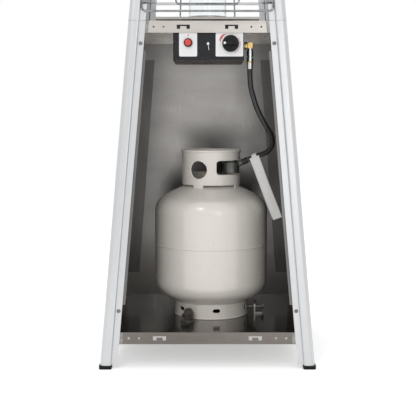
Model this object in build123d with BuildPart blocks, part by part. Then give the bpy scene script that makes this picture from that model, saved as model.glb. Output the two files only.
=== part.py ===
"""Pyramid patio heater: a gas cabinet on four leaning legs, with wire guards,
a glass flame tube and a square reflector above.

Millimetres, Z up. The origin is on the floor, midway between the four feet.
The open front of the cabinet faces -Y and +X is to the right.
"""

import os
from math import atan, cos, degrees, radians, sin, sqrt, tan

from build123d import *

os.makedirs("parts", exist_ok=True)

# The pyramid: every side face of the heater leans in by the same amount
base_half = 273.3           # middle of the heater to a leg's outer face, at the floor
lean = 0.0839               # how far a face comes in for each millimetre of height
tray_top = 90.4             # floor of the cabinet, which the gas tank stands on
deck_top = 876.8            # plate that closes the cabinet and carries the burner
leg_top = 2108.0            # upper end of the legs
leg_seam = 1.0              # gap between a lower leg and an upper leg

# Leg section: a round-nosed corner with a recessed flange along each face
leg_sheet = 1.5
nose_width = 28.0
nose_round = 13.0
nose_edge_round = 4.0
flange_recess = 10.0
flange_width = 16.0

# Rubber caps under the legs
cap_height = 9.0
cap_margin = 2.0
cap_plug_height = 16.0
cap_clearance = 0.4

# Sheet metal of the cabinet
bracket_sheet = 1.2
panel_sheet = 1.0
sheet_gap = 0.06            # between overlapping sheets
tray_sheet = 1.2
flange_drop = 30.0
flange_end_gap = 3.3
bracket_reach = 42.0        # along the face, from the leg's outer edge
bracket_ear = 52.0          # the same at the tray's and the deck's flange
tray_bracket_top = 160.0
deck_bracket_bottom = 800.0
return_width = 38.3         # side panel's bent edges, along the back and the front
return_bottom = 160.0
return_top = 800.0

# Vent slots of the side panels
vent_rows = 12
vent_pitch = 12.8
vent_height = 5.0
vent_length = 118.0
vent_offset = 70.0
vent_bottom = 432.0

# Fixing holes and hook slots for the cabinet's cover, in both front flanges
cover_hole = 5.0
hole_drop = 15.2            # below the flange's top edge
tray_outer_holes = 400.0
tray_inner_holes = 348.0
tray_hook_spacing = 243.4
deck_outer_holes = 272.0
deck_inner_holes = 222.0
deck_hook_spacing = 122.0
hook_slot_width = 33.0
hook_slot_height = 10.6
hook_tab_width = 16.0
hook_tab_height = 7.0

# Screws through the legs' flanges
screw_head = 9.6
screw_rise = 2.2
screw_heights = (145.0, 820.0)
screw_inset = 36.0          # from the leg's outer edge

# Gas tank
tank_x = 10.0
tank_y = -10.0
tank_radius = 155.0
tank_wall = 6.0             # least wall; the cavity is a plain drum
belly_bottom = 99.6         # above the tray: where the lower dome starts
belly_top = 285.6
crown_radius = 240.0
knuckle_radius = 50.0
drum_flat = 60.0
ring_radius = 101.0
ring_height = 60.0          # before it is cut to the dome
ring_hole_middle = -82.0
ring_sheet = 3.0
ring_hole_count = 6
ring_hole_length = 20.0
ring_hole_width = 10.5
ring_hole_height = 24.0
collar_radius = 80.0
collar_sheet = 2.6
collar_top = 454.6          # above the tray
collar_skirt = 361.0        # lower edge of the collar between its feet
collar_rim_height = 5.0
collar_rim_width = 2.4
collar_foot_angle = 20.0
hand_opening_middle = -37.0  # degrees from +X, where the gas outlet leaves
hand_opening_angle = 86.0
opening_round = 9.0
hand_opening_low = 387.6
hand_opening_high = 428.6
grip_hole_radius = 25.5
grip_hole_height = 402.6
grip_hole_middle = -116.0

# Tank valve, coupling nut and regulator, along the gas outlet
outlet_angle = -37.0
outlet_height = 408.0       # above the tray
valve_radius = 14.0
valve_flat = 24.0
valve_block = 30.0
valve_stem = 5.0
boss_radius = 9.0
boss_end = 36.0             # from the tank's axis
neck_radius = 6.0
nut_wall = 4.0
bleed_angle = -145.0
bleed_height = 396.0
bleed_radius = 3.2
bleed_end = 24.0
wheel_radius = 27.0
wheel_height = 13.0
wheel_bottom = 429.0
wheel_lobe = 7.0
wheel_lobes = 6
nut_start = 25.0
nut_length = 17.0
nut_radius = 16.0
nut_ribs = 12
nut_clearance = 0.4
regulator_middle = 67.0
regulator_radius = 23.5
regulator_height = 28.0
regulator_dome = 17.0
regulator_dome_rise = 4.0
port_angle = -10.0
port_rise = 25.0
port_reach = 34.0
port_radius = 8.0

# Tank clamp: three upstanding lugs on the tray with a bolt through each
clamp_count = 3
lug_radius = 119.0
lug_sheet = 4.0
lug_width = 30.0
lug_height = 34.0
lug_foot = 22.0
bolt_height = 17.0          # above the tray
bolt_radius = 4.0
bolt_clearance = 0.35
bolt_length = 40.0
bolt_head_flat = 13.0
bolt_head_height = 5.3
tip_gap = 0.3

# Control box under the deck
box_left = -87.0
box_right = 92.5
box_gap = 14.7              # behind the legs' front faces at the deck's height
box_back = 5.0
box_bottom = 777.0
box_sheet = 1.5
box_round = 5.0
box_hole_radius = 7.2
box_hole_x = 9.0
box_hole_y = -58.0
plate_sheet = 1.0
plate_height = 59.6
plate_bottom = 787.6
plate_round = 3.0
igniter_x = -49.0
igniter_z = 822.0
igniter_plate_width = 45.6
dial_plate_middle = 55.7
dial_plate_width = 69.6
knob_x = 58.6
knob_z = 819.8
latch_x = 1.6

# Igniter
bezel_radius = 11.0
bezel_bore = 8.4
bezel_rise = 7.0
button_radius = 8.0
button_rise = 12.5
button_length = 24.0
piezo_radius = 9.4
piezo_length = 46.0
piezo_bore_depth = 26.0
wall_clearance = 0.5

# Burner control knob and gas valve
knob_radius = 21.8
knob_skirt = 9.0
knob_height = 22.0
knob_grip = 12.0
knob_gap = 4.6              # from the dial plate, which lets the knob be pushed in
knob_socket = 12.0
spindle_radius = 4.0
spindle_bore = 5.2
spindle_length = 46.0
bush_radius = 7.0
bush_length = 8.0
bush_clearance = 0.4
bush_start = 9.0            # behind the dial plate's face
gas_valve_width = 34.0
gas_valve_height = 30.0
gas_valve_depth = 42.0
gas_valve_gap = 14.0        # behind the box's front wall
gas_valve_bore_depth = 18.0
gas_valve_recess = 9.0
supply_radius = 4.0
supply_bend = 16.0
supply_drop = 6.0
supply_run = 60.0
injector_y = -14.0

# Gas inlet on the right of the control box
inlet_y = -150.0
inlet_z = 817.1
nipple_radius = 5.5
elbow_x = 109.4
elbow_width = 16.6
elbow_drop = 7.0            # half of the elbow's height
elbow_round = 3.0
swivel_bottom = 778.0
swivel_radius = 8.3
swivel_neck = 6.6
swivel_rings = ((0.0, 9.0), (12.0, 14.0))   # height above its lower end, and length
ferrule_bottom = 757.8
ferrule_radius = 7.8
hose_radius = 6.75

# Route of the hose, from its ferrule down and round to the regulator
hose_points = [
    (109.4, -150.0, 757.8), (109.4, -150.0, 719.0), (118.9, -147.6, 684.0),
    (130.0, -147.0, 651.0), (148.7, -145.0, 616.5), (168.2, -130.5, 587.3),
    (172.7, -113.2, 566.5), (166.3, -94.0, 548.0), (151.3, -75.6, 535.8),
    (128.5, -61.8, 529.2),
]

# Strip tag on the hose
tag_place = 0.885           # share of the hose's length, from its upper end
tag_fall = (0.34, -0.08, -0.94)
tag_width = 27.0
tag_length = 178.0
tag_sheet = 0.8
tag_sleeve_length = 14.0
tag_sleeve_gap = 1.8

# Burner
pan_half = 135.0
pan_bottom = 886.0
pan_rim = 6.0
pan_sheet = 1.2
pan_hole = 47.5
drum_radius = 70.0
drum_sheet = 1.5
burner_radius = 36.0
burner_bottom = 862.0
burner_height = 891.0
burner_flange = 60.0
burner_flange_sheet = 2.0
jet_radius = 12.0
jet_clearance = 0.5
screen_radius = 42.0
screen_sheet = 1.0
screen_height = 14.0
probe_radius = 1.5
probe_circle = 45.0
spark_angle = 250.0
spark_height = 15.0
thermocouple_angle = 290.0
thermocouple_height = 11.0
tube_radius = 51.0
tube_wall = 2.5
seat_radius = 56.0
seat_height = 12.0
seat_step = 4.0
seat_clearance = 0.4
tube_ring_radius = 54.0
tube_ring_height = 12.0
tube_top_gap = 1.0

# Wire guards
rod_radius = 2.5
rod_sides = 6
guard_bottom = 901.0
guard_top = 2084.0
guard_inset = 31.5          # outer rod's middle from the leg's outer edge
guard_corner = 12.0
loop_bottom = 917.5
loop_share = 0.485          # inner loop's width beside the outer one's
loop_corner = 14.0
wire_width = 2.2
wire_pitch = 19.4
wire_gap = 0.25
clip_height = 16.0
clip_sheet = 1.5
clip_rows = (1.5, 58.5)     # counted in wires, so that each clip is between two

# Top plate, posts and reflector
top_sheet = 1.5
top_skirt = 18.0
top_clearance = 0.6
post_spread = 62.0
post_radius = 5.0
post_length = 152.0
top_hole = 46.0
reflector_half = 245.0
reflector_rim = 16.0
reflector_rise = 62.0
reflector_flat = 72.0
reflector_sheet = 1.5
cap_nut_radius = 6.5
cap_nut_height = 8.0

# Sizes that follow from those above
slope = sqrt(1 + lean**2)   # length along a leaning face for one millimetre of height
flange_inner = flange_recess + leg_sheet
panel_depth = flange_inner + bracket_sheet
inside_depth = panel_depth + panel_sheet + sheet_gap
deck_bottom = deck_top - tray_sheet
leg_split_low = deck_top - leg_seam / 2
leg_split_high = deck_top + leg_seam / 2


def half(height):
    """Distance from the middle to the legs' outer faces at a height."""
    return base_half - lean * height


def turned(vector, turn):
    """A vector turned about the vertical axis by a number of degrees."""
    return Vector(*vector).rotate(Axis.Z, turn)


def corner_plane(turn, height, inset=0.0):
    """Level plane at a leg's outer edge, with both its axes pointing outwards."""
    reach = half(height) - inset
    return Plane(
        origin=turned((reach, reach, height), turn),
        x_dir=turned((1, 0, 0), turn),
        z_dir=(0, 0, 1),
    )


def corner_rise(turn):
    """Unit vector that runs up a leg."""
    return turned((-lean, -lean, 1), turn).normalized()


def corner_length(rise):
    """Length along a leg for a rise in height."""
    return rise * sqrt(1 + 2 * lean**2)


def face_plane(turn, height, depth=0.0):
    """Leaning plane of one side, turn 0 being the front, with Y up the slope."""
    return Plane(
        origin=turned((0, depth - half(height), height), turn),
        x_dir=turned((1, 0, 0), turn),
        z_dir=turned((0, -1, lean), turn),
    )


def face_rise(turn, downwards=False):
    """Unit vector that runs up, or down, the middle of a side."""
    way = -1 if downwards else 1
    return turned((0, way * lean, way), turn).normalized()


def save(part, name):
    """Labels a finished piece and writes it as a STEP file."""
    part.label = name
    export_step(part, f"parts/{name}.step")


def leg(turn, low, high):
    """One stretch of a leg: a bent sheet run up the slanted edge of the pyramid."""
    outer = -flange_recess
    end = -nose_width - flange_width
    with BuildPart() as stretch:
        with BuildSketch(corner_plane(turn, low)):
            with BuildLine():
                FilletPolyline(
                    (end, outer), (-nose_width, outer), (-nose_width, 0), (0, 0),
                    (0, -nose_width), (outer, -nose_width), (outer, end),
                    radius=[0.01 + leg_sheet, nose_edge_round, nose_round,
                            nose_edge_round, 0.01 + leg_sheet],
                )
                offset(amount=leg_sheet, side=Side.RIGHT)
            make_face()
        extrude(amount=corner_length(high - low), dir=corner_rise(turn))
    return stretch.part


for leg_name, low, high in (("lower_legs", cap_height, leg_split_low),
                            ("upper_legs", leg_split_high, leg_top)):
    with BuildPart() as legs:
        for turn in (0, 90, 180, 270):
            add(leg(turn, low, high))
    save(legs.part, leg_name)

with BuildPart() as caps:
    for turn in (0, 90, 180, 270):
        outer = cap_margin
        inner = -nose_width - cap_margin
        with BuildSketch(corner_plane(turn, 0, lean * cap_height / 2)):
            with Locations(((outer + inner) / 2, (outer + inner) / 2)):
                RectangleRounded(outer - inner, outer - inner, nose_edge_round + cap_margin)
        extrude(amount=cap_height)
        plug = nose_width - 2 * (leg_sheet + cap_clearance)
        middle = -nose_width / 2
        with BuildSketch(corner_plane(turn, cap_height)):
            with Locations((middle, middle)):
                RectangleRounded(plug, plug, nose_round - leg_sheet)
        extrude(amount=corner_length(cap_plug_height), dir=corner_rise(turn))
save(caps.part, "foot_caps")


def angle_plate(turn, low, high, depth, reach, sheet):
    """A bent plate inside a leg's corner, reaching along both of its faces."""
    with BuildPart() as plate:
        with BuildSketch(corner_plane(turn, low)):
            with BuildLine():
                Polyline((-reach, -depth), (-depth, -depth), (-depth, -reach),
                         (-depth - sheet, -reach), (-depth - sheet, -depth - sheet),
                         (-reach, -depth - sheet), close=True)
            make_face()
        extrude(amount=corner_length(high - low), dir=corner_rise(turn))
    return plate.part


joiner_overlap = 40.0
joiner_sheet = 2.0
with BuildPart() as joiners:
    for turn in (0, 90, 180, 270):
        low_plane = corner_plane(turn, deck_top - joiner_overlap)
        reach = nose_width - nose_edge_round
        bend = nose_round - leg_sheet + cap_clearance
        with BuildSketch(low_plane):
            with BuildLine():
                FilletPolyline((-reach, -leg_sheet), (-leg_sheet, -leg_sheet),
                               (-leg_sheet, -reach), radius=bend)
                offset(amount=joiner_sheet, side=Side.RIGHT)
            make_face()
        extrude(amount=corner_length(2 * joiner_overlap), dir=corner_rise(turn))
save(joiners.part, "leg_joiners")

with BuildPart() as brackets:
    for low, high, ear_low, ear_high in (
        (tray_top - flange_drop, tray_bracket_top, tray_top - flange_drop, tray_top),
        (deck_bracket_bottom, deck_bottom, deck_top - flange_drop, deck_bottom),
    ):
        for turn in (0, 90, 180, 270):
            add(angle_plate(turn, low, high, flange_inner, bracket_reach, bracket_sheet))
            add(angle_plate(turn, ear_low, ear_high, flange_inner, bracket_ear,
                            bracket_sheet))
save(brackets.part, "corner_brackets")


def hook_slot(width, height, tab_width, tab_height):
    """Slot with a tab that rises into it from below, for a cover's hook."""
    Rectangle(width, height)
    with Locations((0, (tab_height - height) / 2)):
        Rectangle(tab_width, tab_height, mode=Mode.SUBTRACT)


def front_view(y):
    """Upright plane that faces the front, with X to the right and Y up."""
    return Plane((0, y, 0), x_dir=(1, 0, 0), z_dir=(0, -1, 0))


def folded_plate(level, outer_spacing, inner_spacing, hook_spacing):
    """Square plate with a flange bent down on each side; the front one is pierced."""
    front = half(level) - panel_depth
    side = half(level) - inside_depth
    with BuildPart() as plate:
        with BuildSketch(Plane.XY.offset(level - tray_sheet)):
            with Locations((0, (side - front) / 2)):
                Rectangle(2 * side, side + front)
        extrude(amount=tray_sheet)
        for turn in (0, 90, 180, 270):
            reach = front if turn == 0 else side
            flange = Plane.XY.offset(level).rotated((0, 0, turn))
            with BuildSketch(flange):
                with Locations((0, tray_sheet / 2 - reach)):
                    Rectangle(2 * (side - flange_end_gap), tray_sheet)
            extrude(amount=flange_drop * slope, dir=face_rise(turn, downwards=True))
        row = level - hole_drop
        with BuildSketch(front_view(panel_depth - half(row))):
            with Locations((-outer_spacing / 2, row), (-inner_spacing / 2, row),
                           (inner_spacing / 2, row), (outer_spacing / 2, row)):
                Circle(cover_hole / 2)
            with Locations((-hook_spacing / 2, row), (hook_spacing / 2, row)):
                hook_slot(hook_slot_width, hook_slot_height, hook_tab_width, hook_tab_height)
        extrude(amount=2 * tray_sheet, both=True, mode=Mode.SUBTRACT)
    return plate


tray = folded_plate(tray_top, tray_outer_holes, tray_inner_holes, tray_hook_spacing)
save(tray.part, "base_tray")

# The deck also has a round hole for the burner's mixing tube
deck = folded_plate(deck_top, deck_outer_holes, deck_inner_holes, deck_hook_spacing)
with BuildPart() as deck_plate:
    add(deck.part)
    with BuildSketch(Plane((0, injector_y, deck_bottom))):
        Circle(jet_radius + jet_clearance)
    extrude(amount=tray_sheet, mode=Mode.SUBTRACT)
save(deck_plate.part, "burner_deck")


def wall_outline(low, high, depth):
    """Trapezium that fills one side of the pyramid between two heights."""
    low_reach = half(low) - depth
    high_reach = half(high) - depth
    rise = (high - low) * slope
    Polyline((-low_reach, 0), (low_reach, 0), (high_reach, rise), (-high_reach, rise),
             close=True)


panel_low = tray_top - flange_drop
panel_high = deck_bottom

with BuildPart() as back_panel:
    with BuildSketch(face_plane(180, panel_low, panel_depth)):
        with BuildLine():
            wall_outline(panel_low, panel_high, panel_depth)
        make_face()
    extrude(amount=-panel_sheet)
save(back_panel.part, "back_panel")

for turn, panel_name in ((90, "right_panel"), (270, "left_panel")):
    with BuildPart() as side_panel:
        with BuildSketch(face_plane(turn, panel_low, panel_depth)):
            with BuildLine():
                wall_outline(panel_low, panel_high, inside_depth)
            make_face()
        extrude(amount=-panel_sheet)
        vents = face_plane(turn, vent_bottom, panel_depth)
        for row in range(vent_rows):
            rise = row * vent_pitch * slope
            with BuildSketch(vents):
                with Locations((-vent_offset, rise), (vent_offset, rise)):
                    Rectangle(vent_length, vent_height)
            extrude(amount=2 * panel_sheet, both=True, mode=Mode.SUBTRACT)
        # The front and rear edges are bent inwards, along the neighbouring sides
        for other in (0, 180):
            side = 1 if (other == 0) == (turn == 90) else -1
            low = half(return_bottom) - panel_depth
            high = half(return_top) - panel_depth
            rise = (return_top - return_bottom) * slope
            with BuildSketch(face_plane(other, return_bottom, inside_depth)):
                with BuildLine():
                    Polyline((side * low, 0), (side * (low - return_width), 0),
                             (side * (high - return_width), rise), (side * high, rise),
                             close=True)
                make_face()
            extrude(amount=-panel_sheet)
    save(side_panel.part, panel_name)

with BuildPart() as leg_screws:
    for turn in (0, 90, 180, 270):
        for height in screw_heights:
            reach = half(height) - screw_inset
            with BuildSketch(face_plane(turn, height, flange_recess)):
                with Locations((-reach, 0), (reach, 0)):
                    RegularPolygon(screw_head / 2, 8)
            extrude(amount=screw_rise, taper=25)
save(leg_screws.part, "leg_screws")

# Gas tank, standing in its foot ring on the tray
tank_plane = Plane((tank_x, tank_y, tray_top))
tank_front = Plane(tank_plane.origin, x_dir=(1, 0, 0), z_dir=(0, -1, 0))


def dome_ends(base, way):
    """Radius and height where a dome's knuckle meets its crown, and the crown's top."""
    rim = tank_radius - knuckle_radius
    share = rim / (crown_radius - knuckle_radius)
    depth = (crown_radius - knuckle_radius) * sqrt(1 - share**2)
    join = (crown_radius * share, base + way * knuckle_radius * sqrt(1 - share**2))
    return join, (0, base + way * (crown_radius - depth))


low_join, low_end = dome_ends(belly_bottom, -1)
high_join, high_end = dome_ends(belly_top, 1)
with BuildPart() as tank_body:
    with BuildSketch(tank_front):
        with BuildLine():
            Line((tank_radius, belly_bottom), (tank_radius, belly_top))
            RadiusArc((tank_radius, belly_top), high_join, -knuckle_radius)
            RadiusArc(high_join, high_end, -crown_radius)
            Line(high_end, low_end)
            RadiusArc(low_end, low_join, -crown_radius)
            RadiusArc(low_join, (tank_radius, belly_bottom), -knuckle_radius)
        make_face()
    revolve(axis=Axis(tank_plane.origin, (0, 0, 1)))

with BuildPart() as tank_shell:
    add(tank_body.part)
    bore = tank_radius - tank_wall
    low_flat = low_end[1] + 2 * tank_wall
    high_flat = high_end[1] - 2 * tank_wall
    with BuildSketch(tank_front):
        with BuildLine():
            Polyline((0, low_flat), (drum_flat, low_flat), (bore, belly_bottom),
                     (bore, belly_top), (drum_flat, high_flat), (0, high_flat), close=True)
        make_face()
    revolve(axis=Axis(tank_plane.origin, (0, 0, 1)), mode=Mode.SUBTRACT)
save(tank_shell.part, "tank_shell")


def tank_level(height):
    """Level plane on the tank's axis, at a height above the tray."""
    return tank_plane.offset(height)


def tank_side(angle, height):
    """Upright plane through the tank's axis, that faces out at an angle from +X."""
    return Plane(tank_plane.origin + Vector(0, 0, height),
                 x_dir=turned((0, 1, 0), angle), z_dir=turned((1, 0, 0), angle))


with BuildPart() as foot_ring:
    with BuildSketch(tank_plane):
        Circle(ring_radius)
        Circle(ring_radius - ring_sheet, mode=Mode.SUBTRACT)
    extrude(amount=ring_height)
    for number in range(ring_hole_count):
        with BuildSketch(tank_side(ring_hole_middle + number * 360 / ring_hole_count,
                                   ring_hole_height)):
            SlotOverall(ring_hole_length, ring_hole_width)
        extrude(amount=ring_radius * 2, mode=Mode.SUBTRACT)
    add(tank_body.part, mode=Mode.SUBTRACT)
save(foot_ring.part, "tank_foot_ring")

with BuildPart() as collar:
    with BuildSketch(tank_level(high_join[1])):
        Circle(collar_radius)
        Circle(collar_radius - collar_sheet, mode=Mode.SUBTRACT)
    extrude(amount=collar_top - high_join[1])
    with BuildSketch(tank_level(collar_top - collar_rim_height)):
        Circle(collar_radius + collar_rim_width)
        Circle(collar_radius - collar_sheet, mode=Mode.SUBTRACT)
    extrude(amount=collar_rim_height)
    # Two hand openings, opposite each other, then two round grip holes
    opening = 2 * collar_radius * sin(radians(hand_opening_angle / 2))
    opening_middle = (hand_opening_low + hand_opening_high) / 2
    for half_turn in (0, 180):
        with BuildSketch(tank_side(hand_opening_middle + half_turn, opening_middle)):
            RectangleRounded(opening, hand_opening_high - hand_opening_low, opening_round)
        extrude(amount=collar_radius * 2, mode=Mode.SUBTRACT)
        with BuildSketch(tank_side(grip_hole_middle + half_turn, grip_hole_height)):
            Circle(grip_hole_radius)
        extrude(amount=collar_radius * 2, mode=Mode.SUBTRACT)
    # Below the skirt only four feet are left, which stand on the tank's dome
    foot_width = 2 * collar_radius * sin(radians(collar_foot_angle / 2))
    with BuildSketch(tank_level(high_join[1])):
        Circle(collar_radius + collar_rim_width)
        for foot in (0, 90):
            Rectangle(4 * collar_radius, foot_width, rotation=grip_hole_middle + foot,
                      mode=Mode.SUBTRACT)
    extrude(amount=collar_skirt - high_join[1], mode=Mode.SUBTRACT)
    add(tank_body.part, mode=Mode.SUBTRACT)
save(collar.part, "tank_collar")


outlet = tank_side(outlet_angle, outlet_height)
with BuildPart() as valve:
    with BuildSketch(tank_level(high_end[1] - valve_stem)):
        Circle(valve_radius)
    extrude(amount=outlet_height - high_end[1])
    with BuildSketch(tank_level(outlet_height - valve_block / 2).rotated((0, 0, outlet_angle))):
        RectangleRounded(valve_flat, valve_flat, valve_stem)
    extrude(amount=valve_block)
    with BuildSketch(tank_level(outlet_height)):
        Circle(valve_stem)
    extrude(amount=wheel_bottom + wheel_height / 2 - outlet_height)
    with BuildSketch(outlet):
        Circle(boss_radius)
    extrude(amount=boss_end)
    add(tank_body.part, mode=Mode.SUBTRACT)
save(valve.part, "tank_valve")

with BuildPart() as bleed_screw:
    with BuildSketch(tank_side(bleed_angle, bleed_height).offset(valve_radius - 1)):
        RegularPolygon(bleed_radius, 8)
    extrude(amount=bleed_end - valve_radius)
    add(valve.part, mode=Mode.SUBTRACT)
save(bleed_screw.part, "bleed_screw")

with BuildPart() as handwheel:
    with BuildSketch(tank_level(wheel_bottom)):
        Circle(wheel_radius)
        with PolarLocations(wheel_radius + wheel_lobe / 3, wheel_lobes):
            Circle(wheel_lobe, mode=Mode.SUBTRACT)
    extrude(amount=wheel_height)
    with BuildSketch(tank_level(wheel_bottom)):
        Circle(valve_stem + nut_clearance)
    extrude(amount=wheel_height / 2 + nut_clearance, mode=Mode.SUBTRACT)
save(handwheel.part, "tank_handwheel")

with BuildPart() as coupling_nut:
    with BuildSketch(outlet.offset(nut_start)):
        RegularPolygon(nut_radius, nut_ribs)
        Circle(boss_radius + nut_clearance, mode=Mode.SUBTRACT)
    extrude(amount=nut_length - nut_wall)
    with BuildSketch(outlet.offset(nut_start + nut_length - nut_wall)):
        RegularPolygon(nut_radius, nut_ribs)
        Circle(neck_radius + nut_clearance, mode=Mode.SUBTRACT)
    extrude(amount=nut_wall)
save(coupling_nut.part, "coupling_nut")

# The regulator: a flat drum beside the valve, with a port that the hose leaves
regulator_centre = outlet.origin + outlet.z_dir * regulator_middle
port_way = Vector(1, 0, 0).rotate(Axis.Y, -port_rise).rotate(Axis.Z, port_angle)
port_plane = Plane(regulator_centre, x_dir=turned((0, 1, 0), port_angle), z_dir=port_way)
hose_end = regulator_centre + port_way * port_reach
with BuildPart() as regulator:
    base = Plane(regulator_centre).offset(-regulator_height / 2)
    with BuildSketch(base):
        Circle(regulator_radius)
    extrude(amount=regulator_height)
    with BuildSketch(base.offset(regulator_height)):
        Circle(regulator_dome)
    extrude(amount=regulator_dome_rise)
    with BuildSketch(outlet.offset(boss_end)):
        Circle(neck_radius)
    extrude(amount=regulator_middle - boss_end)
    with BuildSketch(port_plane):
        Circle(port_radius)
    extrude(amount=port_reach)
save(regulator.part, "gas_regulator")

# Clamp round the foot ring
with BuildPart() as lugs:
    for number in range(clamp_count):
        face = tank_side(number * 360 / clamp_count, 0).offset(lug_radius)
        with BuildSketch(face):
            with Locations((0, (lug_height - lug_width / 2) / 2)):
                Rectangle(lug_width, lug_height - lug_width / 2)
            with Locations((0, lug_height - lug_width / 2)):
                Circle(lug_width / 2)
            with Locations((0, bolt_height)):
                Circle(bolt_radius + bolt_clearance, mode=Mode.SUBTRACT)
        extrude(amount=lug_sheet)
        with BuildSketch(face):
            with Locations((0, lug_sheet / 2)):
                Rectangle(lug_width, lug_sheet)
        extrude(amount=lug_foot)
save(lugs.part, "clamp_lugs")

for number in range(clamp_count):
    axis_plane = tank_side(number * 360 / clamp_count, bolt_height)
    tip = axis_plane.offset(ring_radius + tip_gap)
    with BuildPart() as bolt:
        with BuildSketch(tip):
            Circle(bolt_radius)
        extrude(amount=bolt_length)
        with BuildSketch(tip.offset(bolt_length)):
            RegularPolygon(bolt_head_flat / 2, 6, major_radius=False)
        extrude(amount=bolt_head_height)
    save(bolt.part, f"clamp_bolt_{number + 1}")

# Control box, hung under the deck behind the front flange
box_width = box_right - box_left
box_front = box_gap - half(deck_top)
box_depth = box_back - box_front
box_middle = Location(((box_left + box_right) / 2, (box_front + box_back) / 2))


dial_face = box_front - plate_sheet
with BuildPart() as box:
    with BuildSketch(Plane.XY.offset(box_bottom + box_sheet)):
        with Locations(box_middle):
            RectangleRounded(box_width, box_depth, box_round)
            RectangleRounded(box_width - 2 * box_sheet, box_depth - 2 * box_sheet,
                             box_round - box_sheet, mode=Mode.SUBTRACT)
    extrude(amount=deck_bottom - box_bottom - box_sheet)
    with BuildSketch(front_view(box_front)):
        with Locations((igniter_x, igniter_z)):
            Circle(piezo_radius + wall_clearance)
        with Locations((knob_x, knob_z)):
            Circle(spindle_bore)
    extrude(amount=2 * box_sheet, both=True, mode=Mode.SUBTRACT)
    with BuildSketch(Plane((box_right, inlet_y, inlet_z), x_dir=(0, 1, 0), z_dir=(1, 0, 0))):
        Circle(nipple_radius + wall_clearance)
    extrude(amount=2 * box_sheet, both=True, mode=Mode.SUBTRACT)
save(box.part, "control_box")

with BuildPart() as box_floor:
    with BuildSketch(Plane.XY.offset(box_bottom)):
        with Locations(box_middle):
            RectangleRounded(box_width, box_depth, box_round)
        with Locations((latch_x - box_hole_x, box_hole_y), (latch_x + box_hole_x, box_hole_y)):
            Circle(box_hole_radius, mode=Mode.SUBTRACT)
    extrude(amount=box_sheet)
save(box_floor.part, "control_box_floor")


def face_plate(middle, width, hole_x, hole_z, hole_radius):
    """Thin plate on the control box's face, with rounded corners and one hole."""
    with BuildPart() as plate:
        with BuildSketch(front_view(box_front)):
            with Locations((middle, plate_bottom + plate_height / 2)):
                RectangleRounded(width, plate_height, plate_round)
            with Locations((hole_x, hole_z)):
                Circle(hole_radius, mode=Mode.SUBTRACT)
        extrude(amount=plate_sheet)
    return plate.part


save(face_plate(igniter_x, igniter_plate_width, igniter_x, igniter_z,
                piezo_radius + wall_clearance), "igniter_plate")
save(face_plate(dial_plate_middle, dial_plate_width, knob_x, knob_z, spindle_bore),
     "dial_plate")

with BuildPart() as piezo:
    with BuildSketch(front_view(dial_face)):
        with Locations((igniter_x, igniter_z)):
            Circle(piezo_radius)
    extrude(amount=-piezo_length)
    with BuildSketch(front_view(dial_face)):
        with Locations((igniter_x, igniter_z)):
            Circle(bezel_bore)
    extrude(amount=-piezo_bore_depth, mode=Mode.SUBTRACT)
save(piezo.part, "piezo_igniter")

with BuildPart() as bezel:
    with BuildSketch(front_view(dial_face)):
        with Locations((igniter_x, igniter_z)):
            Circle(bezel_radius)
            Circle(bezel_bore, mode=Mode.SUBTRACT)
    extrude(amount=bezel_rise)
save(bezel.part, "igniter_bezel")

with BuildPart() as button:
    with BuildSketch(front_view(dial_face - button_rise)):
        with Locations((igniter_x, igniter_z)):
            Circle(button_radius)
    extrude(amount=-button_length)
save(button.part, "igniter_button")

knob_back = dial_face - knob_gap
with BuildPart() as knob:
    with BuildSketch(front_view(knob_back)):
        with Locations((knob_x, knob_z)):
            Circle(knob_radius)
    extrude(amount=knob_skirt, taper=3)
    with BuildSketch(front_view(knob_back - knob_skirt)):
        with Locations((knob_x, knob_z)):
            RectangleRounded(2 * knob_radius - 3, knob_grip, knob_grip / 2 - 1)
    extrude(amount=knob_height - knob_skirt, taper=5)
    with BuildSketch(front_view(knob_back)):
        with Locations((knob_x, knob_z)):
            Circle(spindle_radius)
    extrude(amount=knob_socket, mode=Mode.SUBTRACT)
save(knob.part, "control_knob")

spindle_front = knob_back - knob_socket
with BuildPart() as spindle:
    with BuildSketch(front_view(spindle_front)):
        with Locations((knob_x, knob_z)):
            Circle(spindle_radius)
    extrude(amount=-spindle_length)
save(spindle.part, "valve_spindle")

with BuildPart() as bush:
    with BuildSketch(front_view(dial_face + bush_start)):
        with Locations((knob_x, knob_z)):
            Circle(bush_radius)
            Circle(spindle_radius + bush_clearance, mode=Mode.SUBTRACT)
    extrude(amount=-bush_length)
save(bush.part, "spindle_bush")

gas_valve_front = box_front + box_sheet + gas_valve_gap
with BuildPart() as gas_valve:
    with BuildSketch(front_view(gas_valve_front)):
        with Locations((knob_x, knob_z)):
            RectangleRounded(gas_valve_width, gas_valve_height, plate_round)
    extrude(amount=-gas_valve_depth)
    with BuildSketch(front_view(gas_valve_front)):
        with Locations((knob_x, knob_z)):
            Circle(bush_radius + bush_clearance)
    extrude(amount=-gas_valve_recess, mode=Mode.SUBTRACT)
    with BuildSketch(front_view(gas_valve_front)):
        with Locations((knob_x, knob_z)):
            Circle(spindle_radius + bush_clearance)
    extrude(amount=-gas_valve_bore_depth, mode=Mode.SUBTRACT)
save(gas_valve.part, "gas_valve")

# Gas supply from the valve to the burner's jet, inside the control box
with BuildPart() as supply:
    pipe_back = gas_valve_front + gas_valve_depth
    pipe_level = knob_z - supply_drop
    turn_y = pipe_back + supply_run
    with BuildLine():
        pipe_route = FilletPolyline(
            (knob_x, pipe_back, pipe_level), (knob_x, turn_y, pipe_level),
            (0, injector_y, pipe_level), (0, injector_y, burner_bottom),
            radius=supply_bend)
    with BuildSketch(Plane(pipe_route @ 0, z_dir=pipe_route % 0)):
        Circle(supply_radius)
    sweep()
save(supply.part, "burner_supply_pipe")

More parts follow.
